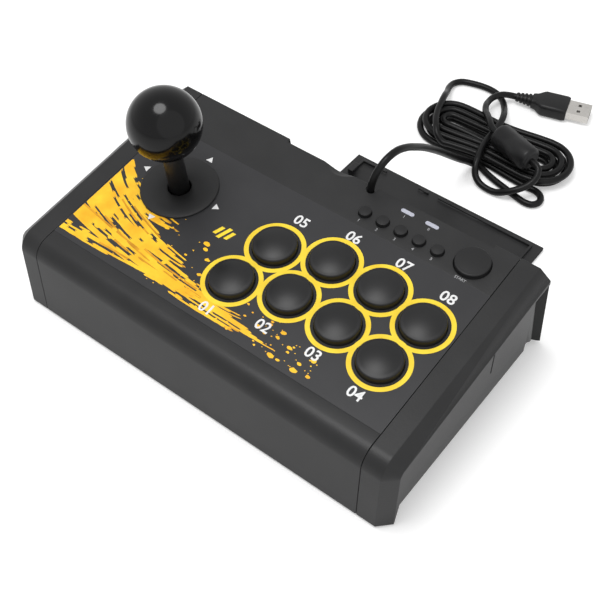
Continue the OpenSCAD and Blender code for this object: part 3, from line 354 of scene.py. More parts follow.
# Cord: the lead out of the bay, the hank, the wraps round it and the tail to the plug
cordRoute = {
    "diameter": 3.8,
    "pathStep": 1.6,
    "turnSteps": 40,
    "leadPoints": [
        (15.4, 97, 33.6), (15.4, 103, 35.8), (15.4, 105.2, 41), (15.4, 105.3, 47),
        (15.4, 105.3, 53), (15.4, 105.4, 59), (15.9, 106.6, 64), (16.6, 109.4, 68.2),
        (17.5, 114, 71.4), (18.3, 121, 71.9), (18.9, 129, 68.8), (19.2, 137.5, 63.2),
        (19, 145.6, 57), (18.8, 153.5, 50.2), (18.3, 162, 42.4), (18, 171, 33.8),
        (17.8, 180.5, 24.6), (17.9, 189, 16.6), (18.1, 196.4, 10), (18.6, 201, 5.6),
        (20.2, 203.8, 3), (23.2, 204.5, 2.1), (28.4, 202.6, 2), (35, 200.4, 2),
        (43, 198.4, 2), (51, 196.4, 2), (57, 195.4, 2), (60.6, 196.2, 2),
        (62.8, 199, 2), (62.7, 202.6, 2), (60.4, 205.5, 2), (56.4, 206.8, 2),
    ],
    "wrapPoints": [
        (-7.6, 206.4, 9), (-10.4, 209.4, 10.8), (-13.8, 214.2, 11.3), (-17.2, 221.4, 11.3),
        (-19.6, 229, 11.3), (-21.8, 236, 10.4), (-25, 244.4, 6), (-27.8, 251.6, 3.6),
        (-28.4, 257.4, 2.3), (-25.8, 261.8, 2.1), (-20, 264.4, 2.1), (-10.4, 266.2, 2.1),
        (-2.4, 265.2, 2.1), (3.8, 261.1, 2.2), (8.4, 254.8, 3.4), (11.6, 248.6, 6.6),
        (14.2, 243, 9.8), (16.4, 237, 11.2), (17.7, 230, 11.3), (18.2, 222, 11.3),
        (18.6, 214.6, 11.3), (20.4, 207, 11.1), (22.2, 201.2, 10.3), (23.4, 197.4, 8.2),
        (25.6, 194.6, 5), (29.4, 192.9, 2.8), (35, 192, 2.1), (40.6, 192.2, 2.6),
        (45.8, 193.4, 5), (50.2, 195.9, 7.2), (53.4, 199.4, 8.6), (55.6, 203.2, 10.6),
        (56.3, 206.2, 12.8), (55.2, 209.2, 15),
    ],
    "tailPoints": [
        (16.4, 223.8, 16), (13.2, 227.6, 15.4), (9.2, 232.6, 13.5), (5.2, 237.4, 11.3),
        (2, 243.2, 9.8), (0, 249.4, 7.6), (0, 255.4, 7.1), (2.6, 260.8, 7),
        (5, 264.4, 5.6),
    ],
    "hankMid": (19.5, 224.8),
    "hankSlant": 2,
    "hankRun": 58,
    "hankLoops": 3,
    "hankInRadius": 3.2,
    "hankStep": 5,
    "hankFloor": 0.05,
    "waistShare": 0.86,
    "hankLift": 4.35,
    "startShare": -0.14,
    "endShare": 1.1,
    "runShare": 0.31,
    "leadIn": 1.5,
    "leadOut": 1.2,
    "beadIn": (49, 212, 15.8),
    "beadTurn": 162,
    "beadLength": 27,
    "plugStart": (9, 266.9, 4.7),
    "plugTurn": 15.8,
    "exitX": 15.4,
    "exitZ": 34,
    "bayFront": 73.9,
    "grommetReach": 3.4,
}


# How far the runs of the hank draw in towards its middle
def hankWaist(x):
    reach = min(1, abs(x) / (cordRoute["hankRun"] / 2))
    return 1 - (1 - cordRoute["waistShare"]) * math.cos(math.radians(90 * reach)) ** 2


# One loop of the hank: half a run, a bend, a run, a bend and the other half run
def loopPoint(share, radius):
    half = cordRoute["hankRun"] / 2
    run = cordRoute["runShare"]
    bend = 0.5 - run
    a = run / 2
    b = a + bend
    c = b + run
    d = c + bend
    if share < a:
        x = share / a * half
        return x, -radius * hankWaist(x)
    if share < b:
        turn = math.pi * (share - a) / bend
        return half + radius * math.sin(turn), -radius * math.cos(turn)
    if share < c:
        x = half - (share - b) / run * cordRoute["hankRun"]
        return x, radius * hankWaist(x)
    if share < d:
        turn = math.pi * (share - c) / bend
        return -half - radius * math.sin(turn), radius * math.cos(turn)
    x = -half + (share - d) / (1 - d) * half
    return x, -radius * hankWaist(x)


# The loops wind in on the floor, and out again on top of themselves
def hankPoint(t):
    share = t - math.floor(t)
    wound = t - cordRoute["hankLoops"]
    radius = cordRoute["hankInRadius"] + cordRoute["hankStep"] * abs(wound)
    climb = min(1, max(0, wound / cordRoute["runShare"] + 0.5))
    low = cordRoute["diameter"] / 2 + cordRoute["hankFloor"]
    x, y = loopPoint(share, radius)
    turn = math.radians(cordRoute["hankSlant"])
    return Vector((
        cordRoute["hankMid"][0] - x * math.cos(turn) - y * math.sin(turn),
        cordRoute["hankMid"][1] - x * math.sin(turn) + y * math.cos(turn),
        low + cordRoute["hankLift"] * climb * climb * (3 - 2 * climb),
    ))


# A smooth curve through the points, with even speed where their distances differ
def smoothThrough(points, spacing):
    path = []
    last = len(points) - 1
    for i in range(last):
        p0 = points[max(0, i - 1)]
        p1 = points[i]
        p2 = points[i + 1]
        p3 = points[min(last, i + 2)]
        count = max(1, round((p2 - p1).length / spacing))
        t01 = max(1e-6, (p1 - p0).length) ** 0.5
        t12 = max(1e-6, (p2 - p1).length) ** 0.5
        t23 = max(1e-6, (p3 - p2).length) ** 0.5
        m1 = m2 = p2 - p1
        if i > 0:
            m1 = p2 - p1 + t12 * ((p1 - p0) / t01 - (p2 - p0) / (t01 + t12))
        if i < last - 1:
            m2 = p2 - p1 + t12 * ((p3 - p2) / t23 - (p3 - p1) / (t12 + t23))
        for k in range(count):
            s = k / count
            path.append(
                (2 * s ** 3 - 3 * s * s + 1) * p1 + (s ** 3 - 2 * s * s + s) * m1
                + (3 * s * s - 2 * s ** 3) * p2 + (s ** 3 - s * s) * m2
            )
    path.append(points[last])
    return path


def axisOf(turn):
    return Vector((math.cos(math.radians(turn)), math.sin(math.radians(turn)), 0))


def makeCord():
    d = cordRoute["diameter"]
    start = cordRoute["startShare"]
    end = 2 * cordRoute["hankLoops"] - 1 + cordRoute["endShare"]
    count = round((end - start) * cordRoute["turnSteps"])
    hank = [hankPoint(start + (end - start) * k / count) for k in range(count + 1)]
    into = (hank[1] - hank[0]).normalized()
    out = (hank[-1] - hank[-2]).normalized()
    beadIn = Vector(cordRoute["beadIn"])
    beadAxis = axisOf(cordRoute["beadTurn"])
    beadOut = beadIn + beadAxis * cordRoute["beadLength"]
    plugStart = Vector(cordRoute["plugStart"])
    plugAxis = axisOf(cordRoute["plugTurn"])
    exitY = cordRoute["bayFront"] + cordRoute["grommetReach"]
    gland = Vector((cordRoute["exitX"], exitY, cordRoute["exitZ"]))
    points = [gland, gland + Vector((0, d, 0))]
    points += [Vector(p) for p in cordRoute["leadPoints"]]
    points += [hank[0] - into * d * cordRoute["leadIn"]] + hank
    points += [hank[-1] + out * d * cordRoute["leadOut"]]
    points += [Vector(p) for p in cordRoute["wrapPoints"]]
    points += [beadIn - beadAxis * d, beadIn, beadOut, beadOut + beadAxis * d]
    points += [Vector(p) for p in cordRoute["tailPoints"]]
    points += [plugStart - plugAxis * d / 2, plugStart, plugStart + plugAxis * d / 2]
    path = [at(*p) for p in smoothThrough(points, cordRoute["pathStep"])]
    curve = bpy.data.curves.new("usbCord", "CURVE")
    curve.dimensions = "3D"
    curve.bevel_depth = d / 2000
    curve.bevel_resolution = 4
    curve.use_fill_caps = True
    spline = curve.splines.new("POLY")
    spline.points.add(len(path) - 1)
    for point, place in zip(spline.points, path):
        point.co = (*place, 1)
        point.radius = 1
    spline.use_smooth = True
    curve.materials.append(cordJacket)
    piece = bpy.data.objects.new("usbCord", curve)
    bpy.context.scene.collection.objects.link(piece)
    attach(piece, "base")
    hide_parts("cord_lead", "cord_hank", "cord_wraps", "cord_tail")
    length = sum((b - a).length for a, b in zip(path[:-1], path[1:]))
    print("cord made, length", round(length, 3))
    return piece, path[0], length


cordPiece, cordExit, cordLength = makeCord()


# Bead: a smooth barrel with rounded ends, shares of its radius
bead = {"diameter": 14.4, "endFlat": 0.62, "endRound": 0.36, "roundSteps": 8, "steps": 64}


def makeBead():
    r = bead["diameter"] / 2
    length = cordRoute["beadLength"]
    flat = r * bead["endFlat"]
    end = r * bead["endRound"]
    count = bead["roundSteps"]
    profile = [(0, 0.0), (flat, 0.0)] + arcProfile((flat, end), end, -90, 0, count)
    profile += [(r, length - end)] + arcProfile((flat, length - end), end, 0, 90, count)
    profile += [(0, length)]
    axis = axisOf(cordRoute["beadTurn"])
    lie = axis.to_track_quat("Z", "Y").to_matrix().to_4x4()
    place = Matrix.Translation(at(*cordRoute["beadIn"])) @ lie
    return turned("beadShell", profile, place, mouldedLead, "base", bead["steps"], "ferrite_bead")


beadPiece = makeBead()

# Plug: ribbed relief and stepped body; its steel shell and its tongue are the CAD pieces.
# The body's sections: distance past the relief, shares of width and height, and corner radius
plug = {
    "reliefLength": 10,
    "bodyWidth": 15.6,
    "bodyHeight": 8.2,
    "ribs": 4,
    "ribFirst": 0.4,
    "ribPitch": 2.3,
    "ribWidth": 1.5,
    "ribGirth": 5.4,
    "ribGrow": 0.65,
    "ribDepth": 0.9,
    "bodySections": (
        (-0.2, 0.56, 0.8, 2.2), (2.4, 0.6, 0.9, 2.2), (5.2, 0.9, 0.97, 2.2),
        (6.6, 1, 1, 2.2), (19.4, 1, 1, 2.0), (21, 0.93, 0.9, 1.6),
    ),
    "edgeRound": 0.25,
    "edgeAngle": 35,
    "cornerSteps": 4,
}


# A body along X through sections of (distance, width, height, corner radius)
def loft(name, sections, place, material, body):
    work = bmesh.new()
    rows = []
    steps = plug["cornerSteps"]
    for along, width, height, corner in sections:
        row = []
        for cx, cy, start in ((1, 1, 0), (-1, 1, 90), (-1, -1, 180), (1, -1, 270)):
            for k in range(steps + 1):
                turn = math.radians(start + 90 * k / steps)
                x = cx * (width / 2 - corner) + corner * math.cos(turn)
                y = cy * (height / 2 - corner) + corner * math.sin(turn)
                row.append(work.verts.new(place @ (Vector((along, x, y)) / 1000)))
        rows.append(row)
    linkRings(work, rows)
    work.faces.new(list(reversed(rows[0])))
    work.faces.new(rows[-1])
    bmesh.ops.recalc_face_normals(work, faces=work.faces)
    piece = finishMesh(work, name, material)
    roundEdges(piece, plug["edgeRound"], plug["edgeAngle"])
    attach(piece, body)
    return piece


def makePlug():
    lie = Matrix.Rotation(math.radians(cordRoute["plugTurn"]), 4, "Z")
    place = Matrix.Translation(at(*cordRoute["plugStart"])) @ lie
    sections = [(0, 4.4, 4.4, 2.1)]
    for k in range(plug["ribs"]):
        a = plug["ribFirst"] + k * plug["ribPitch"]
        b = a + plug["ribWidth"]
        girth = plug["ribGirth"] + k * plug["ribGrow"]
        wide = girth + 0.2
        neck = girth - plug["ribDepth"]
        sections += [
            (a, girth, girth * 0.92, girth * 0.42), (b, wide, wide * 0.92, girth * 0.42),
            (b + 0.05, neck, girth * 0.78, girth * 0.36),
            (b + 0.75, neck + 0.2, girth * 0.8, girth * 0.36),
        ]
    sections += [
        (plug["reliefLength"] + past, plug["bodyWidth"] * wide, plug["bodyHeight"] * high, corner)
        for past, wide, high, corner in plug["bodySections"]
    ]
    body = loft("plugBody", sections, place, mouldedLead, "base")
    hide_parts("usb_overmold")
    return body


plugBody = makePlug()
print("bead and plug made")


# Case pieces: the CAD forms with their edges rounded
outside = (casePlastic, case["edgeRound"], "body_shell")
inside = (innerPlastic, case["innerRound"], "base_plastic")
for node, name, body, (material, width, slot) in (
    ("top_shell", "caseTop", "base", outside),
    ("end_cap_left", "capLeft", "base", outside),
    ("end_cap_right", "capRight", "base", outside),
    ("rear_door", "doorPanel", "rear_door", outside),
    ("base_tray", "baseTray", "base", inside),
    ("cable_bay", "bayLiner", "base", inside),
):
    roundedCopy(node, name, material, body, width)
print("case dressed")

# Painted shade: a dark strip at each rear corner, from the bevel down to the leg, where the bevel
# shades it.
# Its outline is x, distance from the rear face, and how far the arch lifts the foot there; foot and
# top are (y, z) of the rear face
paintedShadeStrip = {
    "outline": (
        (108.4, -7.6, 6.2), (110.2, -3.4, 2.4), (111.1, -0.9, 0.25),
        (110.8, -0.25, 0), (103.8, -0.5, 0), (104.5, -6.5, 5.2),
    ),
    "foot": (117.921, 1.25),
    "top": (111.521, 48.75),
    "steps": 6,
    "round": 0.25,
}


def makeCornerStrip(name, side):
    work = bmesh.new()
    rings = []
    for k in range(paintedShadeStrip["steps"] + 1):
        share = k / paintedShadeStrip["steps"]
        rear, height = (
            a + (b - a) * share for a, b in zip(paintedShadeStrip["foot"], paintedShadeStrip["top"])
        )
        rings.append([
            work.verts.new(at(side * x, rear + y, height + lift * (1 - share)))
            for x, y, lift in paintedShadeStrip["outline"]
        ])
    linkRings(work, rings)
    work.faces.new(rings[0])
    work.faces.new(rings[-1])
    bmesh.ops.recalc_face_normals(work, faces=work.faces)
    # Painted shade: the strip's near-black finish stands in for the shade under the bevel's
    # overhang
    piece = finishMesh(work, name, rubberAndPaintedShadeBlack)
    roundEdges(piece, paintedShadeStrip["round"])
    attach(piece, "base")


makeCornerStrip("paintedShadeStripLeft", -1)
makeCornerStrip("paintedShadeStripRight", 1)
print("corner strips made")

# Where the buttons and the lever stand on the panel; the shares are of the buttons' pitch
layout = {
    "firstButton": (-5.4, 25.6),
    "pitch": 27.4,
    "lowerRow": ((0, 0), (0.985, 0.295), (1.982, 0.285), (2.938, 0.096)),
    "upperShift": (0.167, 0.958),
    "lever": (-62.3, 54.5),
}
buttonPlaces = [
    tuple(
        first + layout["pitch"] * (share + row * shift)
        for first, share, shift in zip(layout["firstButton"], shares, layout["upperShift"])
    )
    for row in (0, 1) for shares in layout["lowerRow"]
]

# Prints on the panel: thin flat layers of ink just above the film
prints = {
    "lift": 0.04,
    "layerStep": 0.003,
    "ringOuter": 14.6,
    "ringInner": 12.35,
    "ringEdge": 0.3,
    "arrows": ((-61.6, 77.1, 90), (-39.4, 54.9, 0), (-61.9, 32.6, 270), (-84.6, 55.1, 180)),
    "arrowShape": ((1.9, 0), (-1.3, 1.9), (-1.3, -1.9)),
    "markLift": 0.07,
    "markSize": 7.8,
    "markBold": 0.018,
    "numbers": (
        (-5, 7), (22, 14), (49, 15), (75.5, 9.5), (0, 71), (26, 77), (54, 77), (80.5, 73),
    ),
}


def flatPrint(name, layers, material, lift):
    work = bmesh.new()
    for layer, outlines in enumerate(layers):
        for outline in outlines:
            height = lift + layer * prints["layerStep"]
            work.faces.new([work.verts.new(onDeck(x, v, height)) for x, v in outline])
    bmesh.ops.recalc_face_normals(work, faces=work.faces)
    for face in work.faces:
        if face.normal.z < 0:
            face.normal_flip()
    piece = finishMesh(work, name, material, smooth=False)
    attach(piece, "base")


def onCircle(centre, radius, turn):
    return centre[0] + radius * math.cos(turn), centre[1] + radius * math.sin(turn)


def ringFaces(centre, inner, outer, steps=96):
    faces = []
    for k in range(steps):
        a = 2 * math.pi * k / steps
        b = 2 * math.pi * (k + 1) / steps
        faces.append([
            onCircle(centre, inner, a), onCircle(centre, outer, a),
            onCircle(centre, outer, b), onCircle(centre, inner, b),
        ])
    return faces


def arrowFace(x, v, turn):
    t = math.radians(turn)
    return [
        (x + a * math.cos(t) - b * math.sin(t), v + a * math.sin(t) + b * math.cos(t))
        for a, b in prints["arrowShape"]
    ]


ringOuter = prints["ringOuter"]
brightRings = [ringFaces(place, prints["ringInner"], ringOuter) for place in buttonPlaces]
flatPrint("ringPrint", brightRings, ringYellow, prints["lift"])
amberRings = [ringFaces(place, ringOuter - prints["ringEdge"], ringOuter) for place in buttonPlaces]
flatPrint("ringEdgePrint", amberRings, ringAmber, prints["lift"] - prints["layerStep"] / 2)
arrowFaces = [arrowFace(*arrow) for arrow in prints["arrows"]]
flatPrint("arrowPrint", [arrowFaces], inkWhite, prints["lift"])


def addMark(name, words, x, v, size, material):
    curve = bpy.data.curves.new(name, "FONT")
    curve.body = words
    curve.size = size / 1000
    curve.align_x = "CENTER"
    curve.align_y = "CENTER"
    curve.resolution_u = 3
    curve.offset = size * prints["markBold"] / 1000
    piece = bpy.data.objects.new(name, curve)
    bpy.context.scene.collection.objects.link(piece)
    piece.matrix_world = deckMatrix(x, v, prints["markLift"])
    bpy.context.view_layer.update()
    graph = bpy.context.evaluated_depsgraph_get()
    mesh = bpy.data.meshes.new_from_object(piece.evaluated_get(graph))
    mesh.transform(piece.matrix_world)
    bpy.data.objects.remove(piece)
    solid = addObject(name, mesh, material, smooth=False)
    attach(solid, "base")


for k, (x, v) in enumerate(prints["numbers"], 1):
    addMark(f"numberPrint{k}", f"0{k}", x, v, prints["markSize"], inkWhite)
print("rings and numbers printed")


# Golden strokes of a dry brush along the panel's left and front, in lanes that fray and break
sweep = {
    "seed": 23,
    "lift": 0.015,
    "lane": 0.95,
    "step": 1.25,
    "wobbleKept": 0.8,
    "wobbleAdded": 0.16,
    "swell": (0.78, 0.3, 3.1, 0.6),
    "tipPower": 5,
    "fray": (0.1, 0.42),
    "frayMiddle": 0.35,
    "breaks": (1, 3),
    "manyBreaks": 0.7,
    "breakReach": 0.95,
    "breakLength": (0.03, 0.2),
    "deepReach": 1.6,
    "deepLength": 0.3,
    "panelX": 94.6,
    "panelV": (0.7, 83.6),
    "leverClear": 12.6,
    "buttonClear": 12.4,
    "flecks": 170,
    "fleckStart": (-88, 3.5),
    "fleckArea": (142, 50, 40),
    "fleckSides": 8,
    "fleckSize": (0.22, 1.0),
    "fleckEdge": (0.75, 0.5),
    "fleckStretch": 1.5,
    "strokes": [
        {"start": (-97, 52.5), "heading": -42, "bend": 52, "length": 62, "width": 9.5},
        {"start": (-98, 41), "heading": -33, "bend": 40, "length": 92, "width": 11.5},
        {"start": (-98, 29), "heading": -22, "bend": 30, "length": 122, "width": 10.5},
        {"start": (-98, 17.5), "heading": -11, "bend": 15, "length": 148, "width": 8.5},
        {"start": (-98, 6), "heading": 1, "bend": 2, "length": 96, "width": 6.0},
    ],
}


def clearOfHoles(x, v):
    if math.hypot(x - layout["lever"][0], v - layout["lever"][1]) < sweep["leverClear"]:
        return False
    return all(math.hypot(x - p[0], v - p[1]) > sweep["buttonClear"] for p in buttonPlaces)


def onPanel(x, v):
    low, high = sweep["panelV"]
    return min(sweep["panelX"], max(-sweep["panelX"], x)), min(high, max(low, v))


# Half the width of a stroke, which swells, narrows and comes to a tip
def strokeHalf(stroke, s):
    base, swing, turns, ahead = sweep["swell"]
    swell = base + swing * math.sin(turns * s + ahead)
    return stroke["width"] / 2 * swell * (1 - s ** sweep["tipPower"]) ** 0.5


# Points across the stroke at each step along it; a lane lies between two neighbours
def strokeRows(stroke, chance):
    count = round(stroke["length"] / sweep["step"])
    lanes = round(stroke["width"] / sweep["lane"])
    x, v = stroke["start"]
    rows = []
    wobble = [0.0] * (lanes + 1)
    for k in range(count + 1):
        s = k / count
        turn = math.radians(stroke["heading"] + stroke["bend"] * s)
        half = strokeHalf(stroke, s)
        row = []
        for j in range(lanes + 1):
            added = sweep["wobbleAdded"] * (chance.random() - 0.5)
            wobble[j] = sweep["wobbleKept"] * wobble[j] + added
            side = (2 * j / lanes - 1) * half + wobble[j]
            row.append((x - math.sin(turn) * side, v + math.cos(turn) * side))
        rows.append(row)
        x += math.cos(turn) * stroke["length"] / count
        v += math.sin(turn) * stroke["length"] / count
    return rows, lanes, count


def middle(p, q):
    return (p[0] + q[0]) / 2, (p[1] + q[1]) / 2


# The stretches of a lane that keep their ink
def laneRuns(shares, end, breaks):
    runs = []
    run = []
    for k, s in enumerate(shares):
        if s > end or any(first < s < last for first, last in breaks):
            if run:
                runs.append(run)
            run = []
        else:
            run.append(k)
    return runs + [run] if run else runs


# How far along the stroke a lane reaches; the outer lanes fray sooner
def laneEnd(outer, chance):
    least, more = sweep["fray"]
    inMiddle = sweep["frayMiddle"]
    return 1 - (least + more * chance.random()) * (inMiddle + (1 - inMiddle) * outer)


def laneBreaks(chance):
    few, many = sweep["breaks"]
    least, more = sweep["breakLength"]
    breaks = []
    for k in range(many if chance.random() < sweep["manyBreaks"] else few):
        first = chance.random() * sweep["breakReach"]
        breaks.append((first, first + least + more * chance.random() ** 2))
    return breaks


def strokeFaces(stroke, chance):
    rows, lanes, count = strokeRows(stroke, chance)
    gold = []
    deep = []
    for j in range(lanes):
        end = laneEnd(abs(2 * (j + 0.5) / lanes - 1), chance)
        breaks = laneBreaks(chance)
        deepFrom = chance.random() * sweep["deepReach"]
        deepTo = deepFrom + sweep["deepLength"]
        for run in laneRuns([k / count for k in range(count)], end, breaks):
            for k in run:
                near = [rows[k][j], rows[k][j + 1]]
                far = [rows[k + 1][j + 1], rows[k + 1][j]]
                if k == run[0] and k > 0:
                    near = [middle(*near)]
                if k == run[-1]:
                    far = [middle(*far)]
                corners = [onPanel(*p) for p in near[::-1] + far[::-1]]
                whole = len(set(corners)) == len(corners) > 2
                if whole and all(clearOfHoles(*p) for p in corners):
                    (deep if deepFrom < k / count < deepTo else gold).append(corners)
    return gold, deep


def fleckFaces(chance):
    faces = []
    startX, startV = sweep["fleckStart"]
    length, width, taper = sweep["fleckArea"]
    smallest, more = sweep["fleckSize"]
    inner, ragged = sweep["fleckEdge"]
    sides = sweep["fleckSides"]
    for k in range(sweep["flecks"]):
        s = chance.random()
        x = startX + length * s
        v = startV + (width - taper * s) * chance.random()
        size = smallest + more * chance.random() ** 4
        turn = chance.random() * 2 * math.pi
        corners = []
        for j in range(sides):
            a = turn + 2 * math.pi * j / sides
            reach = size * (inner + ragged * chance.random())
            along = sweep["fleckStretch"] * reach * math.cos(a)
            corners.append((x + along, v + reach * math.sin(a)))
        if all(clearOfHoles(*p) and onPanel(*p) == p for p in corners):
            faces.append(corners)
    return faces


def makeSweep():
    chance = random.Random(sweep["seed"])
    strokes = [strokeFaces(stroke, chance) for stroke in sweep["strokes"]]
    golds = [gold for gold, deep in strokes] + [fleckFaces(chance)]
    deeps = [deep for gold, deep in strokes]
    flatPrint("goldSweep", golds, inkGold, sweep["lift"])
    flatPrint("deepSweep", deeps, inkDeepGold, sweep["lift"] + prints["layerStep"] / 2)


makeSweep()

# A small mark of three slanted bars beside the lever
accent = {
    "place": (-26, 45),
    "barWidth": 2.0,
    "barHeights": (5.2, 7.6, 5.2),
    "pitch": 3.3,
    "slant": 0.35,
}


def slantedBar(k, height):
    x = accent["place"][0] + (k - 1) * accent["pitch"]
    v = accent["place"][1]
    side = accent["barWidth"] / 2
    half = height / 2
    lean = half * accent["slant"]
    return [
        (x - side - lean, v - half), (x + side - lean, v - half),
        (x + side + lean, v + half), (x - side + lean, v + half),
    ]


barFaces = [slantedBar(k, height) for k, height in enumerate(accent["barHeights"])]
flatPrint("accentPrint", [barFaces], ringYellow, prints["lift"])
print("sweep printed")

# Buttons and keys: crowned caps with a rounded rim, on a flange under the panel or the deck
button = {
    "radius": 10.6,
    "rise": 3.0,
    "crown": 1.9,
    "rim": 1.1,
    "foot": -5.5,
    "flange": 11.6,
    "steps": 96,
}
smallKey = {
    "radius": 3.1,
    "rise": 1.75,
    "crown": 0.25,
    "rim": 0.5,
    "foot": -3.4,
    "flange": 4.1,
    "steps": 40,
    "first": (21.6, 92.3),
    "pitch": 10.15,
    "count": 5,
}
startKey = {
    "radius": 8.5,
    "rise": 2.0,
    "crown": 0.4,
    "rim": 0.8,
    "foot": -3.4,
    "flange": 9.5,
    "steps": 64,
    "place": (79.1, 95.4),
}


# What all caps share: heights over the foot, the arc of the rim and the steps of the crown
capForm = {
    "flangeTop": 1.3,
    "wallFoot": 1.35,
    "rimDrop": 0.9,
    "rimTurn": 74,
    "rimSteps": 6,
    "crownShare": 0.98,
    "crownSteps": 10,
}


def crownedCap(kind):
    radius = kind["radius"]
    rim = kind["rim"]
    low = kind["foot"]
    crownRadius = (radius * radius + kind["crown"] * kind["crown"]) / (2 * kind["crown"])
    top = kind["rise"] + kind["crown"]
    centre = top - crownRadius
    edgeRadius = radius - rim
    edgeHeight = centre + math.sqrt(crownRadius ** 2 - edgeRadius ** 2)
    wall = edgeHeight - rim * capForm["rimDrop"]
    profile = [
        (0, low), (kind["flange"], low), (kind["flange"], low + capForm["flangeTop"]),
        (radius, low + capForm["wallFoot"]), (radius, wall),
    ]
    profile += arcProfile((edgeRadius, wall), rim, 0, capForm["rimTurn"], capForm["rimSteps"])[1:]
    reach = edgeRadius * capForm["crownShare"]
    count = capForm["crownSteps"]
    for k in range(count + 1):
        r = reach * (1 - k / count)
        profile.append((r, min(top, centre + math.sqrt(crownRadius ** 2 - r * r))))
    return profile


def makeCap(name, kind, place, material, body, node):
    profile = crownedCap(kind)
    cap = turned(name, profile, deckMatrix(*place), material, body, kind["steps"], node)


smallPlaces = [
    (smallKey["first"][0] + smallKey["pitch"] * k, smallKey["first"][1])
    for k in range(smallKey["count"])
]
for k, place in enumerate(buttonPlaces, 1):
    makeCap(f"cap{k}", button, place, glossBlack, f"button_{k}", f"button_cap_{k}")
for k, place in enumerate(smallPlaces, 1):
    key = f"small_button_{k}"
    makeCap(f"smallKey{k}", smallKey, place, satinBlack, key, key)
makeCap("startKey", startKey, startKey["place"], satinBlack, "start_button", "start_button")
print("buttons made")

# Lever: ball with a flat underneath, sleeve and dust washer. The sleeve's tip is (in from its
# radius, down from its top), the washer's rim and hole are (in or out from there, height)
lever = {
    "ballRadius": 17.6,
    "ballHeight": 44.1,
    "ballFlat": 16.54,
    "sleeveRadius": 5.0,
    "sleeveBore": 3.05,
    "sleeveFoot": -8,
    "sleeveGap": 0.1,
    "sleeveTip": ((0, 0.6), (0.4, 0.1), (0.8, 0)),
    "washerRadius": 19.5,
    "washerBore": 5.8,
    "washerFoot": 0.1,
    "washerRim": ((0, 0.65), (0.2, 0.95), (0.6, 1.18)),
    "washerHole": ((0.5, 1.2), (0, 0.9)),
}


def makeLever():
    place = deckMatrix(*layout["lever"])
    middleHeight = lever["ballHeight"]
    radius = lever["ballRadius"]
    low = middleHeight - lever["ballFlat"]
    flatTurn = math.degrees(math.asin(lever["ballFlat"] / radius))
    profile = [(0, low)] + arcProfile((0, middleHeight), radius, -flatTurn, 90, 48)
    profile[-1] = (0, middleHeight + radius)
    turned("ballKnob", profile, place, ballBlack, "stick", 96, "ball_knob")
    top = low - lever["sleeveGap"]
    foot = lever["sleeveFoot"]
    bore = lever["sleeveBore"]
    r = lever["sleeveRadius"]
    profile = [(bore, foot), (r, foot)]
    profile += [(r - inward, top - down) for inward, down in lever["sleeveTip"]] + [(bore, top)]
    turned("leverSleeve", profile, place, satinBlack, "stick", 48, "shaft_sleeve")
    foot = lever["washerFoot"]
    bore = lever["washerBore"]
    r = lever["washerRadius"]
    profile = [(bore, foot), (r, foot)]
    profile += [(r - inward, height) for inward, height in lever["washerRim"]]
    profile += [(bore + outward, height) for outward, height in lever["washerHole"]]
    profile += [(bore, foot)]
    turned("dustWasher", profile, place, washerBlack, "dust_washer", 96, "dust_washer")


makeLever()
print("lever made")

# CAD pieces that keep their form take their finish here
finishes = {
    "deck_overlay": panelFilm,
    "rubber_feet": rubberAndPaintedShadeBlack,
    "cord_grommet": rubberAndPaintedShadeBlack,
    "case_screws": steel,
    "board_screws": steel,
    "door_hinge_pin": steel,
    "gimbal_ring": steel,
    "stick_shaft": steel,
    "stick_spring": steel,
    "shaft_clip": steel,
    "switch_levers": steel,
    "usb_shell": plugSteel,
    "usb_tongue": tongueWhite,
    "button_bezels": satinBlack,
    "button_domes": silicone,
    "small_domes": silicone,
    "button_board": circuitBoard,
    "small_board": circuitBoard,
    "main_board": circuitBoard,
    "led_lenses": lensGrey,
    "stick_bracket": innerPlastic,
    "gate_plate": satinBlack,
    "stick_switches": satinBlack,
    "actuator": satinBlack,
    "slide_washer": satinBlack,
}
for name, material in finishes.items():
    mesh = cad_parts[name].data
    mesh.materials.clear()
    mesh.materials.append(material)
print("finishes set")

# Small grey marks at the lamps and the keys: strokes, a plain word and numbers
keyMarks = {
    "size": 2.2,
    "wordSize": 2.0,
    "lampRow": 100.7,
    "lamps": (38, 51.7),
    "startRow": 84.9,
    "keyRow": 87.0,
}
for k, x in enumerate(keyMarks["lamps"], 1):
    addMark(f"lampMark{k}", "I" * k, x, keyMarks["lampRow"], keyMarks["size"], inkGrey)
addMark(
    "startMark", "START", startKey["place"][0], keyMarks["startRow"], keyMarks["wordSize"], inkGrey,
)
for k, (x, v) in enumerate(smallPlaces, 1):
    addMark(f"keyNumber{k}", str(k), x, keyMarks["keyRow"], keyMarks["size"], inkGrey)
print("key marks printed")

# Floor, world and lamps: the camera sees floor and world as white, and gloss mirrors them dimmed
studio = {
    "floorColour": (0.86, 0.86, 0.86),
    "floorHalf": 6,
    "floorLift": 0.28,
    "worldStrength": 0.62,
    "mirrorShare": 0.4,
    "keyPlace": (-110, -60, 950),
    "keySize": 0.5,
    "keyEnergy": 4.8,
    "fillPlace": (750, -250, 620),
    "fillSize": 1.8,
    "fillEnergy": 2.4,
    "lampAim": (0, 60, 30),
}


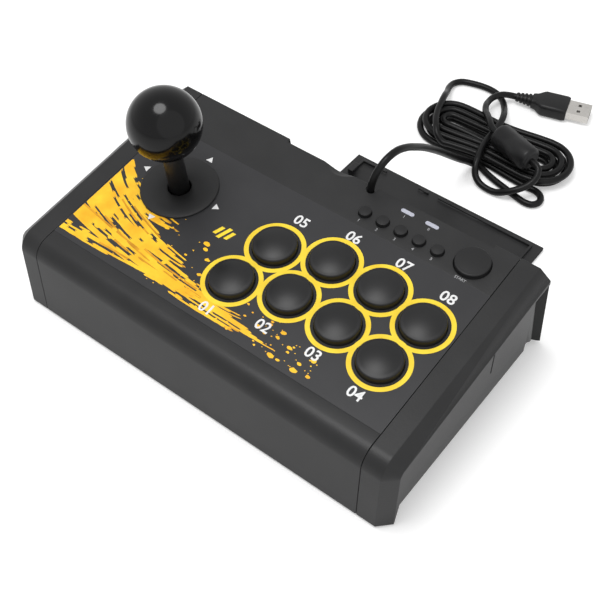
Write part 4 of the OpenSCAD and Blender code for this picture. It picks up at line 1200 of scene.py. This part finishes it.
# 1 for what the camera sees, the mirrors' share for gloss and glass, 0 for the rest
def seenDirectly(nodes, links):
    path = nodes.new("ShaderNodeLightPath")
    mirrors = addNode(nodes, "ShaderNodeMath", operation="MAXIMUM")
    dimmed = addNode(nodes, "ShaderNodeMath", operation="MULTIPLY")
    dimmed.inputs[1].default_value = studio["mirrorShare"]
    seen = addNode(nodes, "ShaderNodeMath", operation="MAXIMUM")
    links.new(path.outputs["Is Glossy Ray"], mirrors.inputs[0])
    links.new(path.outputs["Is Transmission Ray"], mirrors.inputs[1])
    links.new(mirrors.outputs[0], dimmed.inputs[0])
    links.new(path.outputs["Is Camera Ray"], seen.inputs[0])
    links.new(dimmed.outputs[0], seen.inputs[1])
    return seen.outputs[0]


def makeFloor():
    work = bmesh.new()
    half = studio["floorHalf"]
    corners = ((-half, -half), (half, -half), (half, half), (-half, half))
    work.faces.new([work.verts.new((x, y, 0)) for x, y in corners])
    material, nodes, links, shader = newMaterial("studioPaper")
    shader.inputs["Base Color"].default_value = (*studio["floorColour"], 1)
    shader.inputs["Roughness"].default_value = 0.9
    shader.inputs["Specular IOR Level"].default_value = 0.0
    shader.inputs["Emission Color"].default_value = (1, 1, 1, 1)
    lift = addNode(nodes, "ShaderNodeMath", operation="MULTIPLY")
    lift.inputs[1].default_value = studio["floorLift"]
    links.new(seenDirectly(nodes, links), lift.inputs[0])
    links.new(lift.outputs[0], shader.inputs["Emission Strength"])
    floor = finishMesh(work, "studioFloor", material, smooth=False)


def makeStudio():
    makeFloor()
    world = bpy.data.worlds.new("studioWorld")
    bpy.context.scene.world = world
    world.use_nodes = True
    nodes = world.node_tree.nodes
    links = world.node_tree.links
    back = nodes["Background"]
    back.inputs["Color"].default_value = (1, 1, 1, 1)
    strength = nodes.new("ShaderNodeMapRange")
    strength.inputs["To Min"].default_value = studio["worldStrength"]
    strength.inputs["To Max"].default_value = 1.0
    links.new(seenDirectly(nodes, links), strength.inputs["Value"])
    links.new(strength.outputs["Result"], back.inputs["Strength"])
    for name in ("key", "fill"):
        lamp = bpy.data.lights.new(name + "Lamp", "AREA")
        lamp.shape = "DISK"
        lamp.size = studio[name + "Size"]
        lamp.energy = studio[name + "Energy"]
        holder = bpy.data.objects.new(name + "Lamp", lamp)
        bpy.context.scene.collection.objects.link(holder)
        where = at(*studio[name + "Place"])
        aim = at(*studio["lampAim"]) - where
        turn = aim.to_track_quat("-Z", "Y").to_matrix().to_4x4()
        holder.matrix_world = Matrix.Translation(where) @ turn
    bpy.context.scene.view_settings.view_transform = "Standard"


makeStudio()
print("studio set")
